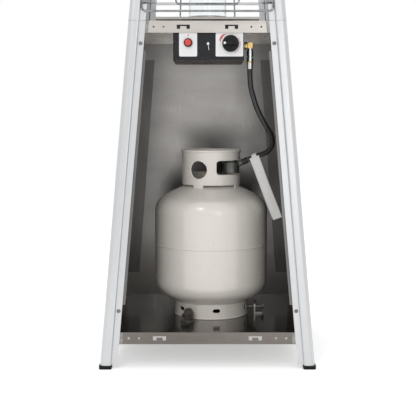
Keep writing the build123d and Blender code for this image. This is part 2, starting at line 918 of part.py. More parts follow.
# Gas inlet: nipple, elbow, swivel and the hose's ferrule
with BuildPart() as nipple:
    with BuildSketch(Plane((knob_x + gas_valve_width / 2, inlet_y, inlet_z),
                           x_dir=(0, 1, 0), z_dir=(1, 0, 0))):
        Circle(nipple_radius)
    extrude(amount=elbow_x - elbow_width / 2 - knob_x - gas_valve_width / 2)
save(nipple.part, "inlet_nipple")

with BuildPart() as elbow:
    with BuildSketch(Plane((elbow_x, inlet_y, inlet_z - elbow_drop))):
        RectangleRounded(elbow_width, elbow_width, elbow_round)
    extrude(amount=2 * elbow_drop)
save(elbow.part, "inlet_elbow")

with BuildPart() as swivel:
    with BuildSketch(Plane((elbow_x, inlet_y, swivel_bottom))):
        Circle(swivel_neck)
    extrude(amount=inlet_z - elbow_drop - swivel_bottom)
    for level, height in swivel_rings:
        with BuildSketch(Plane((elbow_x, inlet_y, swivel_bottom + level))):
            Circle(swivel_radius)
        extrude(amount=height)
save(swivel.part, "hose_swivel")

with BuildPart() as ferrule:
    with BuildSketch(Plane((elbow_x, inlet_y, ferrule_bottom))):
        Circle(ferrule_radius)
    extrude(amount=swivel_bottom - ferrule_bottom)
save(ferrule.part, "hose_ferrule")


def bend_radii(points):
    """Largest radius that each corner of a route allows its two runs."""
    radii = []
    for before, corner, after in zip(points, points[1:], points[2:]):
        first = Vector(*corner) - Vector(*before)
        second = Vector(*after) - Vector(*corner)
        half_turn = radians(first.get_angle(second) / 2)
        radii.append(0.45 * min(first.length, second.length) / tan(half_turn))
    return radii


hose_route_points = hose_points + [tuple(hose_end)]
hose_radii = bend_radii(hose_route_points)
print("hose radii", [round(radius, 1) for radius in hose_radii])
with BuildPart() as hose:
    with BuildLine():
        hose_route = FilletPolyline(*hose_route_points, radius=hose_radii)
    with BuildSketch(Plane(hose_route @ 0, z_dir=hose_route % 0)):
        Circle(hose_radius)
    sweep()
hose_volume = hose_route.length * radians(180) * hose_radius**2
print("hose length", round(hose_route.length, 1), "volume", round(hose.part.volume),
      "section by length", round(hose_volume))
save(hose.part, "gas_hose")

# A plain strip tag that hangs from a sleeve round the hose
tag_point = hose_route @ tag_place
tag_across = -(hose_route % tag_place)
fall = Vector(*tag_fall)
tag_down = (fall - tag_across * fall.dot(tag_across)).normalized()
tag_plane = Plane(tag_point, x_dir=tag_across, z_dir=tag_across.cross(tag_down))
sleeve_outer = hose_radius + tag_sleeve_gap + tag_sheet
with BuildPart() as tag:
    with BuildSketch(Plane(tag_point - tag_across * (tag_sleeve_length / 2),
                           z_dir=tag_across)):
        Circle(sleeve_outer)
        Circle(sleeve_outer - tag_sheet, mode=Mode.SUBTRACT)
    extrude(amount=tag_sleeve_length)
    with BuildSketch(tag_plane.offset(-sleeve_outer)):
        with Locations((0, tag_length / 2)):
            Rectangle(tag_width, tag_length)
    extrude(amount=tag_sheet)
save(tag.part, "hose_tag")

# Burner, with its screen, probes and the pan round it
with BuildPart() as burner:
    with BuildSketch(Plane((0, injector_y, burner_bottom))):
        Circle(jet_radius)
    extrude(amount=deck_top - burner_bottom)
    with BuildSketch(Plane.XY.offset(deck_top)):
        Circle(burner_flange)
    extrude(amount=burner_flange_sheet)
    with BuildSketch(Plane.XY.offset(deck_top)):
        Circle(burner_radius)
    extrude(amount=burner_height - deck_top)
save(burner.part, "burner")

burner_seat = deck_top + burner_flange_sheet
with BuildPart() as screen:
    with BuildSketch(Plane.XY.offset(burner_seat)):
        Circle(screen_radius)
    extrude(amount=screen_height)
    with BuildSketch(Plane.XY.offset(burner_seat)):
        Circle(screen_radius - screen_sheet)
    extrude(amount=screen_height - screen_sheet, mode=Mode.SUBTRACT)
save(screen.part, "burner_screen")

with BuildPart() as probes:
    for angle, rise in ((spark_angle, spark_height), (thermocouple_angle, thermocouple_height)):
        with BuildSketch(Plane.XY.offset(burner_seat)):
            with PolarLocations(probe_circle, 1, start_angle=angle):
                Circle(probe_radius)
        extrude(amount=rise)
save(probes.part, "burner_probes")

pan_top = pan_bottom + pan_rim
with BuildPart() as drum:
    with BuildSketch(Plane.XY.offset(deck_top)):
        Circle(drum_radius)
        Circle(drum_radius - drum_sheet, mode=Mode.SUBTRACT)
    extrude(amount=pan_top - pan_sheet - deck_top)
save(drum.part, "burner_drum")

with BuildPart() as pan:
    with BuildSketch(Plane.XY.offset(pan_bottom)):
        Rectangle(2 * pan_half, 2 * pan_half)
    extrude(amount=pan_rim)
    with BuildSketch(Plane.XY.offset(pan_bottom)):
        Rectangle(2 * (pan_half - pan_sheet), 2 * (pan_half - pan_sheet))
    extrude(amount=pan_rim - pan_sheet, mode=Mode.SUBTRACT)
    with BuildSketch(Plane.XY.offset(pan_bottom)):
        Circle(pan_hole)
    extrude(amount=pan_rim, mode=Mode.SUBTRACT)
save(pan.part, "burner_pan")

# Glass flame tube between its seat on the pan and the ring under the top plate
with BuildPart() as seat:
    with BuildSketch(Plane.XY.offset(pan_top)):
        Circle(seat_radius)
        Circle(pan_hole, mode=Mode.SUBTRACT)
    extrude(amount=seat_step)
    with BuildSketch(Plane.XY.offset(pan_top + seat_step)):
        Circle(seat_radius)
        Circle(tube_radius + seat_clearance, mode=Mode.SUBTRACT)
    extrude(amount=seat_height - seat_step)
save(seat.part, "glass_seat")

tube_bottom = pan_top + seat_step
with BuildPart() as glass:
    with BuildSketch(Plane.XY.offset(tube_bottom)):
        Circle(tube_radius)
        Circle(tube_radius - tube_wall, mode=Mode.SUBTRACT)
    extrude(amount=leg_top - tube_top_gap - tube_bottom)
save(glass.part, "glass_tube")

with BuildPart() as tube_ring:
    with BuildSketch(Plane.XY.offset(leg_top)):
        Circle(tube_ring_radius)
        Circle(tube_radius + seat_clearance, mode=Mode.SUBTRACT)
    extrude(amount=-tube_ring_height)
save(tube_ring.part, "tube_top_ring")

with BuildPart() as top_plate:
    inner = half(leg_top - top_skirt) + top_clearance
    outer = inner + top_sheet
    with BuildSketch(Plane.XY.offset(leg_top)):
        Rectangle(2 * outer, 2 * outer)
        Circle(top_hole, mode=Mode.SUBTRACT)
    extrude(amount=top_sheet)
    with BuildSketch(Plane.XY.offset(leg_top)):
        Rectangle(2 * outer, 2 * outer)
        Rectangle(2 * inner, 2 * inner, mode=Mode.SUBTRACT)
    extrude(amount=-top_skirt)
save(top_plate.part, "top_plate")

post_base = leg_top + top_sheet
with BuildPart() as posts:
    with BuildSketch(Plane.XY.offset(post_base)):
        with GridLocations(2 * post_spread, 2 * post_spread, 2, 2):
            RegularPolygon(post_radius, 8)
    extrude(amount=post_length)
save(posts.part, "reflector_posts")

flat_level = post_base + post_length
rim_level = flat_level - reflector_rise
slant = atan(reflector_rise / (reflector_half - reflector_flat))
sheet_rise = reflector_sheet / cos(slant)
with BuildPart() as reflector:
    for lift, mode in ((sheet_rise, Mode.ADD), (0, Mode.SUBTRACT)):
        with BuildSketch(Plane.XY.offset(rim_level + lift)):
            Rectangle(2 * reflector_half, 2 * reflector_half)
        with BuildSketch(Plane.XY.offset(flat_level + lift)):
            Rectangle(2 * reflector_flat, 2 * reflector_flat)
        loft(mode=mode)
    with BuildSketch(Plane.XY.offset(rim_level + sheet_rise)):
        Rectangle(2 * reflector_half, 2 * reflector_half)
        Rectangle(2 * (reflector_half - reflector_sheet), 2 * (reflector_half - reflector_sheet),
                  mode=Mode.SUBTRACT)
    extrude(amount=-reflector_rim)
save(reflector.part, "reflector")

with BuildPart() as cap_nuts:
    with BuildSketch(Plane.XY.offset(flat_level + sheet_rise)):
        with GridLocations(2 * post_spread, 2 * post_spread, 2, 2):
            RegularPolygon(cap_nut_radius, 6)
    extrude(amount=cap_nut_height)
save(cap_nuts.part, "cap_nuts")

# Wire guards: one on each side, lying in the recess of the legs' flanges
side_names = ("front", "right", "back", "left")
rod_flat = rod_radius * cos(radians(180 / rod_sides))
rod_depth = flange_recess - rod_flat * slope
loop_depth = rod_depth + (wire_width / 2 + rod_flat) * slope


def u_rod(turn, depth, low, high, low_reach, high_reach, corner):
    """A rod bent into a tapering U in the leaning plane of one side."""
    plane = face_plane(turn, low, depth)
    rise = (high - low) * slope
    points = [(-high_reach, rise), (-low_reach, 0), (low_reach, 0), (high_reach, rise)]
    with BuildPart() as rod:
        with BuildLine():
            path = FilletPolyline(*[plane.from_local_coords(point) for point in points],
                                  radius=corner)
        with BuildSketch(Plane(path @ 0, x_dir=plane.z_dir, z_dir=path % 0)):
            RegularPolygon(rod_radius, rod_sides, rotation=180 / rod_sides)
        sweep()
    return rod.part


outer_low = half(guard_bottom) - guard_inset
outer_high = half(guard_top) - guard_inset
loop_low = (half(loop_bottom) - guard_inset) * loop_share
loop_high = outer_high * loop_share
for number, side_name in enumerate(side_names):
    with BuildPart() as frame:
        add(u_rod(number * 90, rod_depth, guard_bottom, guard_top, outer_low, outer_high,
                  guard_corner))
        add(u_rod(number * 90, loop_depth, loop_bottom, guard_top, loop_low, loop_high,
                  loop_corner))
    save(frame.part, f"guard_frame_{side_name}")

wire_count = int((guard_top - guard_bottom) / wire_pitch)
with BuildPart() as wires:
    for turn in (0, 90, 180, 270):
        with BuildSketch(face_plane(turn, guard_bottom, rod_depth)):
            for row in range(1, wire_count + 1):
                rise = row * wire_pitch
                reach = half(guard_bottom + rise) - guard_inset - rod_radius - wire_gap
                with Locations((0, rise * slope)):
                    Rectangle(2 * reach, wire_width)
        extrude(amount=wire_width / 2, both=True)
save(wires.part, "guard_wires")

# Clips that hold the outer rods to the legs' flanges
clip_face = rod_depth - rod_flat * slope
with BuildPart() as clips:
    for turn in (0, 90, 180, 270):
        for row in clip_rows:
            height = guard_bottom + row * wire_pitch
            for side in (-1, 1):
                centre = half(height) - guard_inset
                foot_start = centre - rod_radius - wire_gap - lean * clip_height / 2
                foot_end = half(height) - nose_width - flange_width
                foot_plane = face_plane(turn, height, flange_recess)
                with BuildSketch(foot_plane):
                    with Locations((side * (foot_start + foot_end) / 2, 0)):
                        Rectangle(foot_start - foot_end, clip_height)
                extrude(amount=(flange_recess - clip_face) / slope + clip_sheet)
                with BuildSketch(face_plane(turn, height, clip_face)):
                    with Locations((side * (centre + rod_radius + foot_end) / 2, 0)):
                        Rectangle(centre + rod_radius - foot_end, clip_height)
                extrude(amount=clip_sheet)
save(clips.part, "guard_clips")
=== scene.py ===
"""Dresses the pyramid patio heater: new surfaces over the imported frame, materials, light and camera."""

from math import cos, pi, radians, sin, sqrt

import bmesh
import bpy
import numpy as np
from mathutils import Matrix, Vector


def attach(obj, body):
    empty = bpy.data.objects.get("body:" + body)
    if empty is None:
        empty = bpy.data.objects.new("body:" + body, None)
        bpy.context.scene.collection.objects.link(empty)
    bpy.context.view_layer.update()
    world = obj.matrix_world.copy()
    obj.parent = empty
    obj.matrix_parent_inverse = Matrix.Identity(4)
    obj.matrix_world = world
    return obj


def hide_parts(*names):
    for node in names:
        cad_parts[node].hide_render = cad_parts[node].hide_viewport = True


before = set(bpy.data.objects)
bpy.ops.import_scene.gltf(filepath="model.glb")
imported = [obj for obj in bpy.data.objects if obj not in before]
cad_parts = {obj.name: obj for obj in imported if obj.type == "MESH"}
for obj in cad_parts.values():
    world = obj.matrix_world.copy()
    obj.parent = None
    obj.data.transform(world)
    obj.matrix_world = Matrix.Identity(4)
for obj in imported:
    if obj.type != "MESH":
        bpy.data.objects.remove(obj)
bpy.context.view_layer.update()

# Places and sizes in metres, as in the part's source or rounded from it
LEAN = 0.0839
BASE_HALF = 0.2733
TRAY = 0.0904
TANK = np.array([0.010, -0.010, 0.0])
TANK_RADIUS = 0.155
COLLAR_RADIUS = 0.080
RING_RADIUS = 0.101
DIAL_FACE = -0.186
KNOB = np.array([0.0586, -0.1906, 0.8198])
LATCH = np.array([0.0016, -0.185, 0.8196])
BUTTON = np.array([-0.049, DIAL_FACE, 0.822])
SWIVEL = np.array([0.1094, -0.150, 0.0])
UP = np.array([0.0, 0.0, 1.0])
FRONT = np.array([0.0, -1.0, 0.0])


def half(height):
    """Distance from the heater's middle to the legs' outer faces: it shrinks evenly with height."""
    return BASE_HALF - LEAN * height


# Surfaces

def new_piece(name, points, faces, smooth=True):
    """Mesh object at the origin made from an array of points and an array of faces."""
    mesh = bpy.data.meshes.new(name)
    mesh.from_pydata(points.reshape(-1, 3).tolist(), [], faces.tolist())
    mesh.polygons.foreach_set("use_smooth", np.full(len(mesh.polygons), smooth))
    mesh.update()
    piece = bpy.data.objects.new(name, mesh)
    bpy.context.collection.objects.link(piece)
    return piece


def grid_faces(rows, columns, wrap_rows=False, wrap_columns=False):
    """Four-sided faces between neighbouring points of a grid, joined round where asked."""
    row = np.arange(rows if wrap_rows else rows - 1)[:, None]
    column = np.arange(columns if wrap_columns else columns - 1)[None, :]
    next_row, next_column = (row + 1) % rows, (column + 1) % columns
    corners = (row * columns + column, row * columns + next_column,
               next_row * columns + next_column, next_row * columns + column)
    return np.stack([np.broadcast_to(c, (len(row), column.shape[1])) for c in corners], -1).reshape(-1, 4)


def repeated_faces(faces, count, points_each):
    """The same faces over equal blocks of points: block n adds n * points_each to every corner's number."""
    return (faces[None] + (np.arange(count) * points_each)[:, None, None]).reshape(-1, 4)


def lathe(name, profile, middle, axis=UP, turns=96, lobes=None):
    """Surface of a profile turned about an axis.

    A profile row is (radius, rise). Its point at angle a is middle + rise * axis
    + radius * (cos a * side + sin a * other), and lobes(a, row) scales the radius.
    """
    axis = np.asarray(axis, float) / np.linalg.norm(axis)
    side = np.cross([0.0, 1.0, 0.0] if abs(axis[1]) < 0.9 else [0.0, 0.0, 1.0], axis)
    side /= np.linalg.norm(side)
    other = np.cross(axis, side)
    profile = np.asarray(profile, float)
    angle = np.arange(turns) * 2 * pi / turns
    radius = np.repeat(profile[:, :1], turns, 1)
    if lobes is not None:
        radius = radius * lobes(angle[None, :], np.arange(len(profile))[:, None])
    points = (np.asarray(middle, float) + profile[:, 1, None, None] * axis
              + radius[..., None] * (np.cos(angle)[None, :, None] * side
                                     + np.sin(angle)[None, :, None] * other))
    piece = new_piece(name, points, grid_faces(len(profile), turns, wrap_columns=True))
    close_poles(piece)
    return piece


def close_poles(piece):
    """Joins the points that fall together at a pole and turns all faces outwards."""
    work = bmesh.new()
    work.from_mesh(piece.data)
    bmesh.ops.remove_doubles(work, verts=work.verts, dist=1e-6)
    bmesh.ops.recalc_face_normals(work, faces=work.faces)
    work.to_mesh(piece.data)
    work.free()


def swept(name, paths, across, section, closed=False):
    """Section carried along one or several paths of equal length.

    The point of path row i and section row (s, t) is path + s * across + t * (direction x across),
    where the direction is the difference of the neighbouring path points.
    """
    paths = np.asarray(paths, float)
    if paths.ndim == 2:
        paths = paths[None]
    if closed:
        ahead = np.roll(paths, -1, 1) - np.roll(paths, 1, 1)
    else:
        ahead = np.gradient(paths, axis=1)
    ahead /= np.linalg.norm(ahead, axis=-1, keepdims=True)
    across = np.broadcast_to(across, paths.shape)
    third = np.cross(ahead, across)
    third /= np.linalg.norm(third, axis=-1, keepdims=True)
    section = np.asarray(section, float)
    points = (paths[:, :, None] + section[:, 0, None] * across[:, :, None]
              + section[:, 1, None] * third[:, :, None])
    count, rows, columns = points.shape[:3]
    faces = grid_faces(rows, columns, wrap_rows=closed, wrap_columns=True)
    faces = repeated_faces(faces, count, rows * columns)
    piece = new_piece(name, points, faces[:, ::-1])
    if not closed:
        close_ends(piece)
    return piece


def close_ends(piece):
    """Fills open ends of a tube, so that the form is closed."""
    work = bmesh.new()
    work.from_mesh(piece.data)
    bmesh.ops.holes_fill(work, edges=[e for e in work.edges if e.is_boundary], sides=0)
    bmesh.ops.recalc_face_normals(work, faces=work.faces)
    work.to_mesh(piece.data)
    work.free()


def give_sheet(piece, thickness, offset):
    """Wall thickness for an open surface, on one side (-1) or shared by both (0)."""
    wall = piece.modifiers.new("sheet", "SOLIDIFY")
    wall.thickness = thickness
    wall.offset = offset


def circle(radius, sides=10):
    """Points round a circle, as a section: (radius cos a, radius sin a)."""
    angle = np.arange(sides) * 2 * pi / sides
    return np.stack([radius * np.cos(angle), radius * np.sin(angle)], -1)


def turn_about_middle(points, turn):
    """Points turned about the heater's upright middle by quarter turns."""
    c, s = round(cos(radians(turn))), round(sin(radians(turn)))
    return points @ np.array([[c, s, 0], [-s, c, 0], [0, 0, 1.0]])


def arc(middle, radius, start, end, steps):
    """Points on a level arc round an upright axis, angles in degrees."""
    angle = np.radians(np.linspace(start, end, steps))
    return np.asarray(middle) + np.stack([radius * np.cos(angle), radius * np.sin(angle), 0 * angle], -1)


def smooth_bend(corners, radius, steps=8):
    """Path through corners, where each inner corner is replaced by a parabola.

    The parabola is (1-t)^2 a + 2 t (1-t) c + t^2 b, with a and b a bend length away on both runs.
    """
    corners = np.asarray(corners, float)
    back = corners[:-2] - corners[1:-1]
    on = corners[2:] - corners[1:-1]
    start = corners[1:-1] + back / np.linalg.norm(back, axis=1, keepdims=True) * radius
    end = corners[1:-1] + on / np.linalg.norm(on, axis=1, keepdims=True) * radius
    t = np.linspace(0, 1, steps)[None, :, None]
    bends = (1 - t) ** 2 * start[:, None] + 2 * t * (1 - t) * corners[1:-1, None] + t ** 2 * end[:, None]
    return np.vstack([corners[:1], bends.reshape(-1, 3), corners[-1:]])


# Shader groups

def group(name, inputs, outputs):
    """Empty node group with named sockets; gives back the tree, its input node and its output node."""
    tree = bpy.data.node_groups.new(name, "ShaderNodeTree")
    for label, kind, value in inputs:
        socket = tree.interface.new_socket(label, in_out="INPUT", socket_type=kind)
        socket.default_value = value
    for label, kind in outputs:
        tree.interface.new_socket(label, in_out="OUTPUT", socket_type=kind)
    return tree, tree.nodes.new("NodeGroupInput"), tree.nodes.new("NodeGroupOutput")


def add(tree, kind, **values):
    """Node with its properties and inputs set.

    The names i0, i1 and so on number an input, and a socket given as a value is linked to it.
    """
    node = tree.nodes.new("ShaderNode" + kind)
    for key, value in values.items():
        if hasattr(node, key) and not key[0].isupper():
            setattr(node, key, value)
            continue
        numbered = key[0] == "i" and key[1:].isdigit()
        socket = node.inputs[int(key[1:]) if numbered else key.replace("_", " ")]
        if isinstance(value, bpy.types.NodeSocket):
            tree.links.new(value, socket)
        else:
            socket.default_value = value
    return node


FLOAT, COLOUR, VECTOR = "NodeSocketFloat", "NodeSocketColor", "NodeSocketVector"


def make_tone_drift():
    """Colour that drifts between two tones in a noise stretched along the object's axes."""
    tree, start, end = group("tone_drift", [("Dark", COLOUR, (0.4, 0.4, 0.4, 1)),
                                            ("Light", COLOUR, (0.6, 0.6, 0.6, 1)),
                                            ("Stretch", VECTOR, (1, 1, 1)), ("Scale", FLOAT, 20.0),
                                            ("Contrast", FLOAT, 1.0)],
                             [("Colour", COLOUR), ("Mask", FLOAT)])
    place = add(tree, "TexCoord").outputs["Object"]
    spread = add(tree, "VectorMath", operation="MULTIPLY", i0=place, i1=start.outputs["Stretch"])
    noise = add(tree, "TexNoise", Vector=spread.outputs[0], Scale=start.outputs["Scale"], Detail=5.0,
                Roughness=0.6)
    centred = add(tree, "Math", operation="SUBTRACT", i0=noise.outputs["Fac"], i1=0.5)
    gained = add(tree, "Math", operation="MULTIPLY_ADD", i0=centred.outputs[0],
                 i1=start.outputs["Contrast"], i2=0.5)
    gained.use_clamp = True
    blend = add(tree, "Mix", data_type="RGBA")
    tree.links.new(gained.outputs[0], blend.inputs[0])
    tree.links.new(start.outputs["Dark"], blend.inputs[6])
    tree.links.new(start.outputs["Light"], blend.inputs[7])
    tree.links.new(blend.outputs[2], end.inputs["Colour"])
    tree.links.new(gained.outputs[0], end.inputs["Mask"])
    return tree


def make_fine_grain():
    """Fine height and a roughness that wavers with it: a sharp noise over a broad one."""
    tree, start, end = group("fine_grain", [("Stretch", VECTOR, (1, 1, 1)), ("Scale", FLOAT, 800.0),
                                            ("Low", FLOAT, 0.3), ("High", FLOAT, 0.5)],
                             [("Height", FLOAT), ("Roughness", FLOAT)])
    place = add(tree, "TexCoord").outputs["Object"]
    spread = add(tree, "VectorMath", operation="MULTIPLY", i0=place, i1=start.outputs["Stretch"])
    fine = add(tree, "TexNoise", Vector=spread.outputs[0], Scale=start.outputs["Scale"], Detail=3.0)
    broad = add(tree, "TexNoise", Vector=place, Scale=14.0, Detail=3.0)
    both = add(tree, "Math", operation="MULTIPLY_ADD", i0=fine.outputs["Fac"], i1=0.5)
    halved = add(tree, "Math", operation="MULTIPLY", i0=broad.outputs["Fac"], i1=0.5)
    tree.links.new(halved.outputs[0], both.inputs[2])
    rough = add(tree, "MapRange", i0=both.outputs[0], i1=0.3, i2=0.7)
    tree.links.new(start.outputs["Low"], rough.inputs[3])
    tree.links.new(start.outputs["High"], rough.inputs[4])
    tree.links.new(fine.outputs["Fac"], end.inputs["Height"])
    tree.links.new(rough.outputs[0], end.inputs["Roughness"])
    return tree


def make_worn_specks():
    """Mask of sparse small specks, such as dust or chips: the peaks of a noise."""
    tree, start, end = group("worn_specks", [("Scale", FLOAT, 300.0), ("Amount", FLOAT, 0.1)],
                             [("Mask", FLOAT)])
    place = add(tree, "TexCoord").outputs["Object"]
    noise = add(tree, "TexNoise", Vector=place, Scale=start.outputs["Scale"], Detail=2.0)
    limit = add(tree, "Math", operation="MULTIPLY_ADD", i0=start.outputs["Amount"], i1=-0.5, i2=0.78)
    mask = add(tree, "MapRange", i0=noise.outputs["Fac"])
    tree.links.new(limit.outputs[0], mask.inputs[1])
    above = add(tree, "Math", operation="ADD", i0=limit.outputs[0], i1=0.04)
    tree.links.new(above.outputs[0], mask.inputs[2])
    tree.links.new(mask.outputs[0], end.inputs["Mask"])
    return tree


TONE, GRAIN, SPECKS = make_tone_drift(), make_fine_grain(), make_worn_specks()


def placed(tree, shared, **values):
    """A shared group placed in a material's tree with its own values."""
    node = tree.nodes.new("ShaderNodeGroup")
    node.node_tree = shared
    for key, value in values.items():
        node.inputs[key].default_value = value
    return node


def rgba(colour):
    """Colour with full opacity."""
    return (*colour, 1.0)


def direct_rays(tree):
    """One for rays from the camera, off mirrors and through glass, and zero for all others."""
    ways = add(tree, "LightPath")
    seen = add(tree, "Math", operation="MAXIMUM", i0=ways.outputs["Is Camera Ray"],
               i1=ways.outputs["Is Glossy Ray"])
    return add(tree, "Math", operation="MAXIMUM", i0=seen.outputs[0],
               i1=ways.outputs["Is Transmission Ray"]).outputs[0]


def finish_of(name, dark, light, metallic, low, high, tone_scale=18.0, tone_stretch=(1, 1, 1), contrast=1.6,
              grain_scale=900.0, grain_stretch=(1, 1, 1), bump=0.02, bump_depth=0.0003,
              specks=0.0, speck_colour=(0.5, 0.48, 0.45), speck_scale=300.0, **plain):
    """Material of drifting tone, fine grain and a few specks; plain gives the shader's own constants."""
    material = bpy.data.materials.new(name)
    material.use_nodes = True
    tree = material.node_tree
    shader = tree.nodes["Principled BSDF"]
    tone = placed(tree, TONE, Dark=rgba(dark), Light=rgba(light), Stretch=tone_stretch, Scale=tone_scale,
                  Contrast=contrast)
    grain = placed(tree, GRAIN, Stretch=grain_stretch, Scale=grain_scale, Low=low, High=high)
    colour = tone.outputs["Colour"]
    if specks:
        fleck = placed(tree, SPECKS, Scale=speck_scale, Amount=specks)
        blend = add(tree, "Mix", data_type="RGBA")
        tree.links.new(fleck.outputs["Mask"], blend.inputs[0])
        tree.links.new(colour, blend.inputs[6])
        blend.inputs[7].default_value = rgba(speck_colour)
        colour = blend.outputs[2]
    tree.links.new(colour, shader.inputs["Base Color"])
    tree.links.new(grain.outputs["Roughness"], shader.inputs["Roughness"])
    if bump:
        relief = add(tree, "Bump", Strength=bump, Distance=bump_depth, Height=grain.outputs["Height"])
        tree.links.new(relief.outputs[0], shader.inputs["Normal"])
    shader.inputs["Metallic"].default_value = metallic
    for label, value in plain.items():
        shader.inputs[label.replace("_", " ")].default_value = value
    return material


def wear(material, *nodes):
    """Gives CAD nodes and new pieces one material."""
    for item in nodes:
        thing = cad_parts[item] if isinstance(item, str) else item
        thing.data.materials.clear()
        thing.data.materials.append(material)


# Materials

LEG_SILVER = finish_of("leg_silver_paint", (0.54, 0.55, 0.56), (0.64, 0.65, 0.66), 0.75, 0.26, 0.36,
                       tone_scale=500.0, contrast=1.2, grain_scale=1500.0, bump=0.12, bump_depth=0.00015,
                       specks=0.05, speck_colour=(0.8, 0.82, 0.84), speck_scale=700.0, Coat_Weight=0.25,
                       Coat_Roughness=0.2)
# Back panel: its dark tone and its level bands of tone are painted reflection; the upright grain is the
# brushing.
STEEL_BACK_PAINTED_REFLECTION = finish_of("brushed_back_steel_painted_reflection", (0.26, 0.25, 0.24), (0.38, 0.365, 0.35), 1.0, 0.26, 0.36,
                          tone_scale=3.2, tone_stretch=(0.9, 1.0, 3.2), contrast=1.7, grain_scale=260.0,
                          grain_stretch=(1, 1, 0.02), bump=0.10, bump_depth=0.0004)
STEEL_LEVEL = finish_of("brushed_flange_steel", (0.36, 0.34, 0.32), (0.50, 0.48, 0.45), 1.0, 0.24, 0.36,
                        tone_scale=6.0, tone_stretch=(0.3, 1, 3), contrast=1.8, grain_scale=260.0,
                        grain_stretch=(0.02, 1, 1), bump=0.10, bump_depth=0.0004)
STEEL_DECK = finish_of("burner_deck_steel", (0.42, 0.39, 0.365), (0.62, 0.585, 0.55), 1.0, 0.24, 0.36,
                       tone_scale=6.0, tone_stretch=(0.3, 1, 3), contrast=1.8, grain_scale=260.0,
                       grain_stretch=(0.02, 1, 1), bump=0.10, bump_depth=0.0004)
# Base tray: a very dark steel tone that paints the shade and dark reflections in the polished tray.
STEEL_TRAY_PAINTED_SHADE = finish_of("polished_tray_steel_painted_shade", (0.11, 0.098, 0.088), (0.20, 0.18, 0.165), 1.0, 0.08, 0.2,
                       tone_scale=4.0, contrast=2.0, grain_scale=400.0, grain_stretch=(0.03, 1, 1),
                       bump=0.04, specks=0.03)
# Side panels and vent hoods: a dark steel tone that paints the shade and dark reflections on the cabinet's
# sides.
STEEL_SIDE_PAINTED_SHADE = finish_of("side_panel_steel_painted_shade", (0.13, 0.125, 0.12), (0.21, 0.205, 0.20), 1.0, 0.25, 0.38,
                       tone_scale=9.0, tone_stretch=(2.5, 2.5, 0.25), contrast=1.3, grain_scale=260.0,
                       grain_stretch=(1, 1, 0.02), bump=0.10, bump_depth=0.0004)
ZINC = finish_of("zinc_plate", (0.16, 0.155, 0.145), (0.38, 0.375, 0.36), 1.0, 0.28, 0.45, tone_scale=60.0,
                 contrast=2.2, grain_scale=600.0, bump=0.05)
SCREW_STEEL = finish_of("dull_screw_steel", (0.08, 0.07, 0.06), (0.30, 0.28, 0.26), 1.0, 0.25, 0.4,
                        tone_scale=150.0, contrast=1.8, bump=0.05)
ENAMEL = finish_of("tank_enamel", (0.68, 0.64, 0.59), (0.72, 0.685, 0.635), 0.0, 0.22, 0.30, tone_scale=9.0,
                   contrast=1.3, grain_scale=300.0, bump=0.03, bump_depth=0.0003, Coat_Weight=0.6,
                   Coat_Roughness=0.08)
BRASS = finish_of("turned_brass", (0.50, 0.32, 0.10), (0.80, 0.58, 0.26), 1.0, 0.22, 0.36, tone_scale=120.0,
                  contrast=1.6, bump=0.04)
RUBBER = finish_of("foot_rubber", (0.005, 0.005, 0.005), (0.014, 0.014, 0.014), 0.0, 0.35, 0.55,
                   tone_scale=60.0, bump=0.08, Specular_IOR_Level=0.15)
CHARCOAL = finish_of("charcoal_powder_coat", (0.014, 0.015, 0.017), (0.030, 0.032, 0.035), 0.0, 0.42, 0.58,
                     tone_scale=250.0, contrast=1.6, grain_scale=700.0, bump=0.35, bump_depth=0.0003,
                     specks=0.04, speck_colour=(0.07, 0.07, 0.075), speck_scale=600.0,
                     Specular_IOR_Level=0.15)
# Floor of the control box: dark brown that paints the shaded reflection seen under the box.
BOX_FLOOR_PAINTED_REFLECTION = finish_of("box_floor_painted_reflection", (0.022, 0.014, 0.010), (0.045, 0.030, 0.022), 0.2, 0.35, 0.55,
                      tone_scale=80.0, bump=0.2)
PLATE_WHITE = finish_of("plate_white", (0.74, 0.74, 0.74), (0.80, 0.80, 0.80), 0.0, 0.30, 0.42,
                        tone_scale=40.0, contrast=1.2, bump=0.03)
BLACK_GLOSS = finish_of("moulded_black", (0.008, 0.008, 0.009), (0.020, 0.020, 0.022), 0.0, 0.14, 0.26,
                        tone_scale=40.0, bump=0.03, Specular_IOR_Level=0.14)
BLACK_SOFT = finish_of("soft_black_plastic", (0.015, 0.015, 0.016), (0.035, 0.035, 0.037), 0.0, 0.35, 0.5,
                       tone_scale=60.0, bump=0.12, Specular_IOR_Level=0.2)
RED = finish_of("button_red", (0.55, 0.02, 0.012), (0.72, 0.05, 0.03), 0.0, 0.18, 0.30, tone_scale=120.0,
                bump=0.03, Coat_Weight=0.4)
MARK_RED = finish_of("mark_red", (0.52, 0.04, 0.03), (0.62, 0.07, 0.05), 0.0, 0.35, 0.5, tone_scale=300.0,
                     bump=0.0)
MARK_WHITE = finish_of("mark_white", (0.78, 0.78, 0.78), (0.84, 0.84, 0.84), 0.0, 0.35, 0.5,
                       tone_scale=300.0, bump=0.0)
CHROME = finish_of("bright_plate", (0.52, 0.53, 0.54), (0.70, 0.71, 0.72), 1.0, 0.06, 0.16, tone_scale=40.0,
                   contrast=1.6, bump=0.02)
GUARD_WIRE = finish_of("guard_wire_plate", (0.16, 0.165, 0.17), (0.40, 0.41, 0.42), 1.0, 0.10, 0.22,
                       tone_scale=60.0, contrast=1.8, bump=0.02)
CRIMPED = finish_of("crimped_ferrule", (0.48, 0.48, 0.47), (0.72, 0.72, 0.70), 1.0, 0.2, 0.34,
                    tone_scale=120.0, bump=0.04)
HOSE = finish_of("hose_rubber", (0.012, 0.012, 0.013), (0.026, 0.026, 0.028), 0.0, 0.28, 0.42,
                 tone_scale=90.0, grain_scale=1100.0, bump=0.12, specks=0.02,
                 speck_colour=(0.10, 0.10, 0.10), speck_scale=500.0)
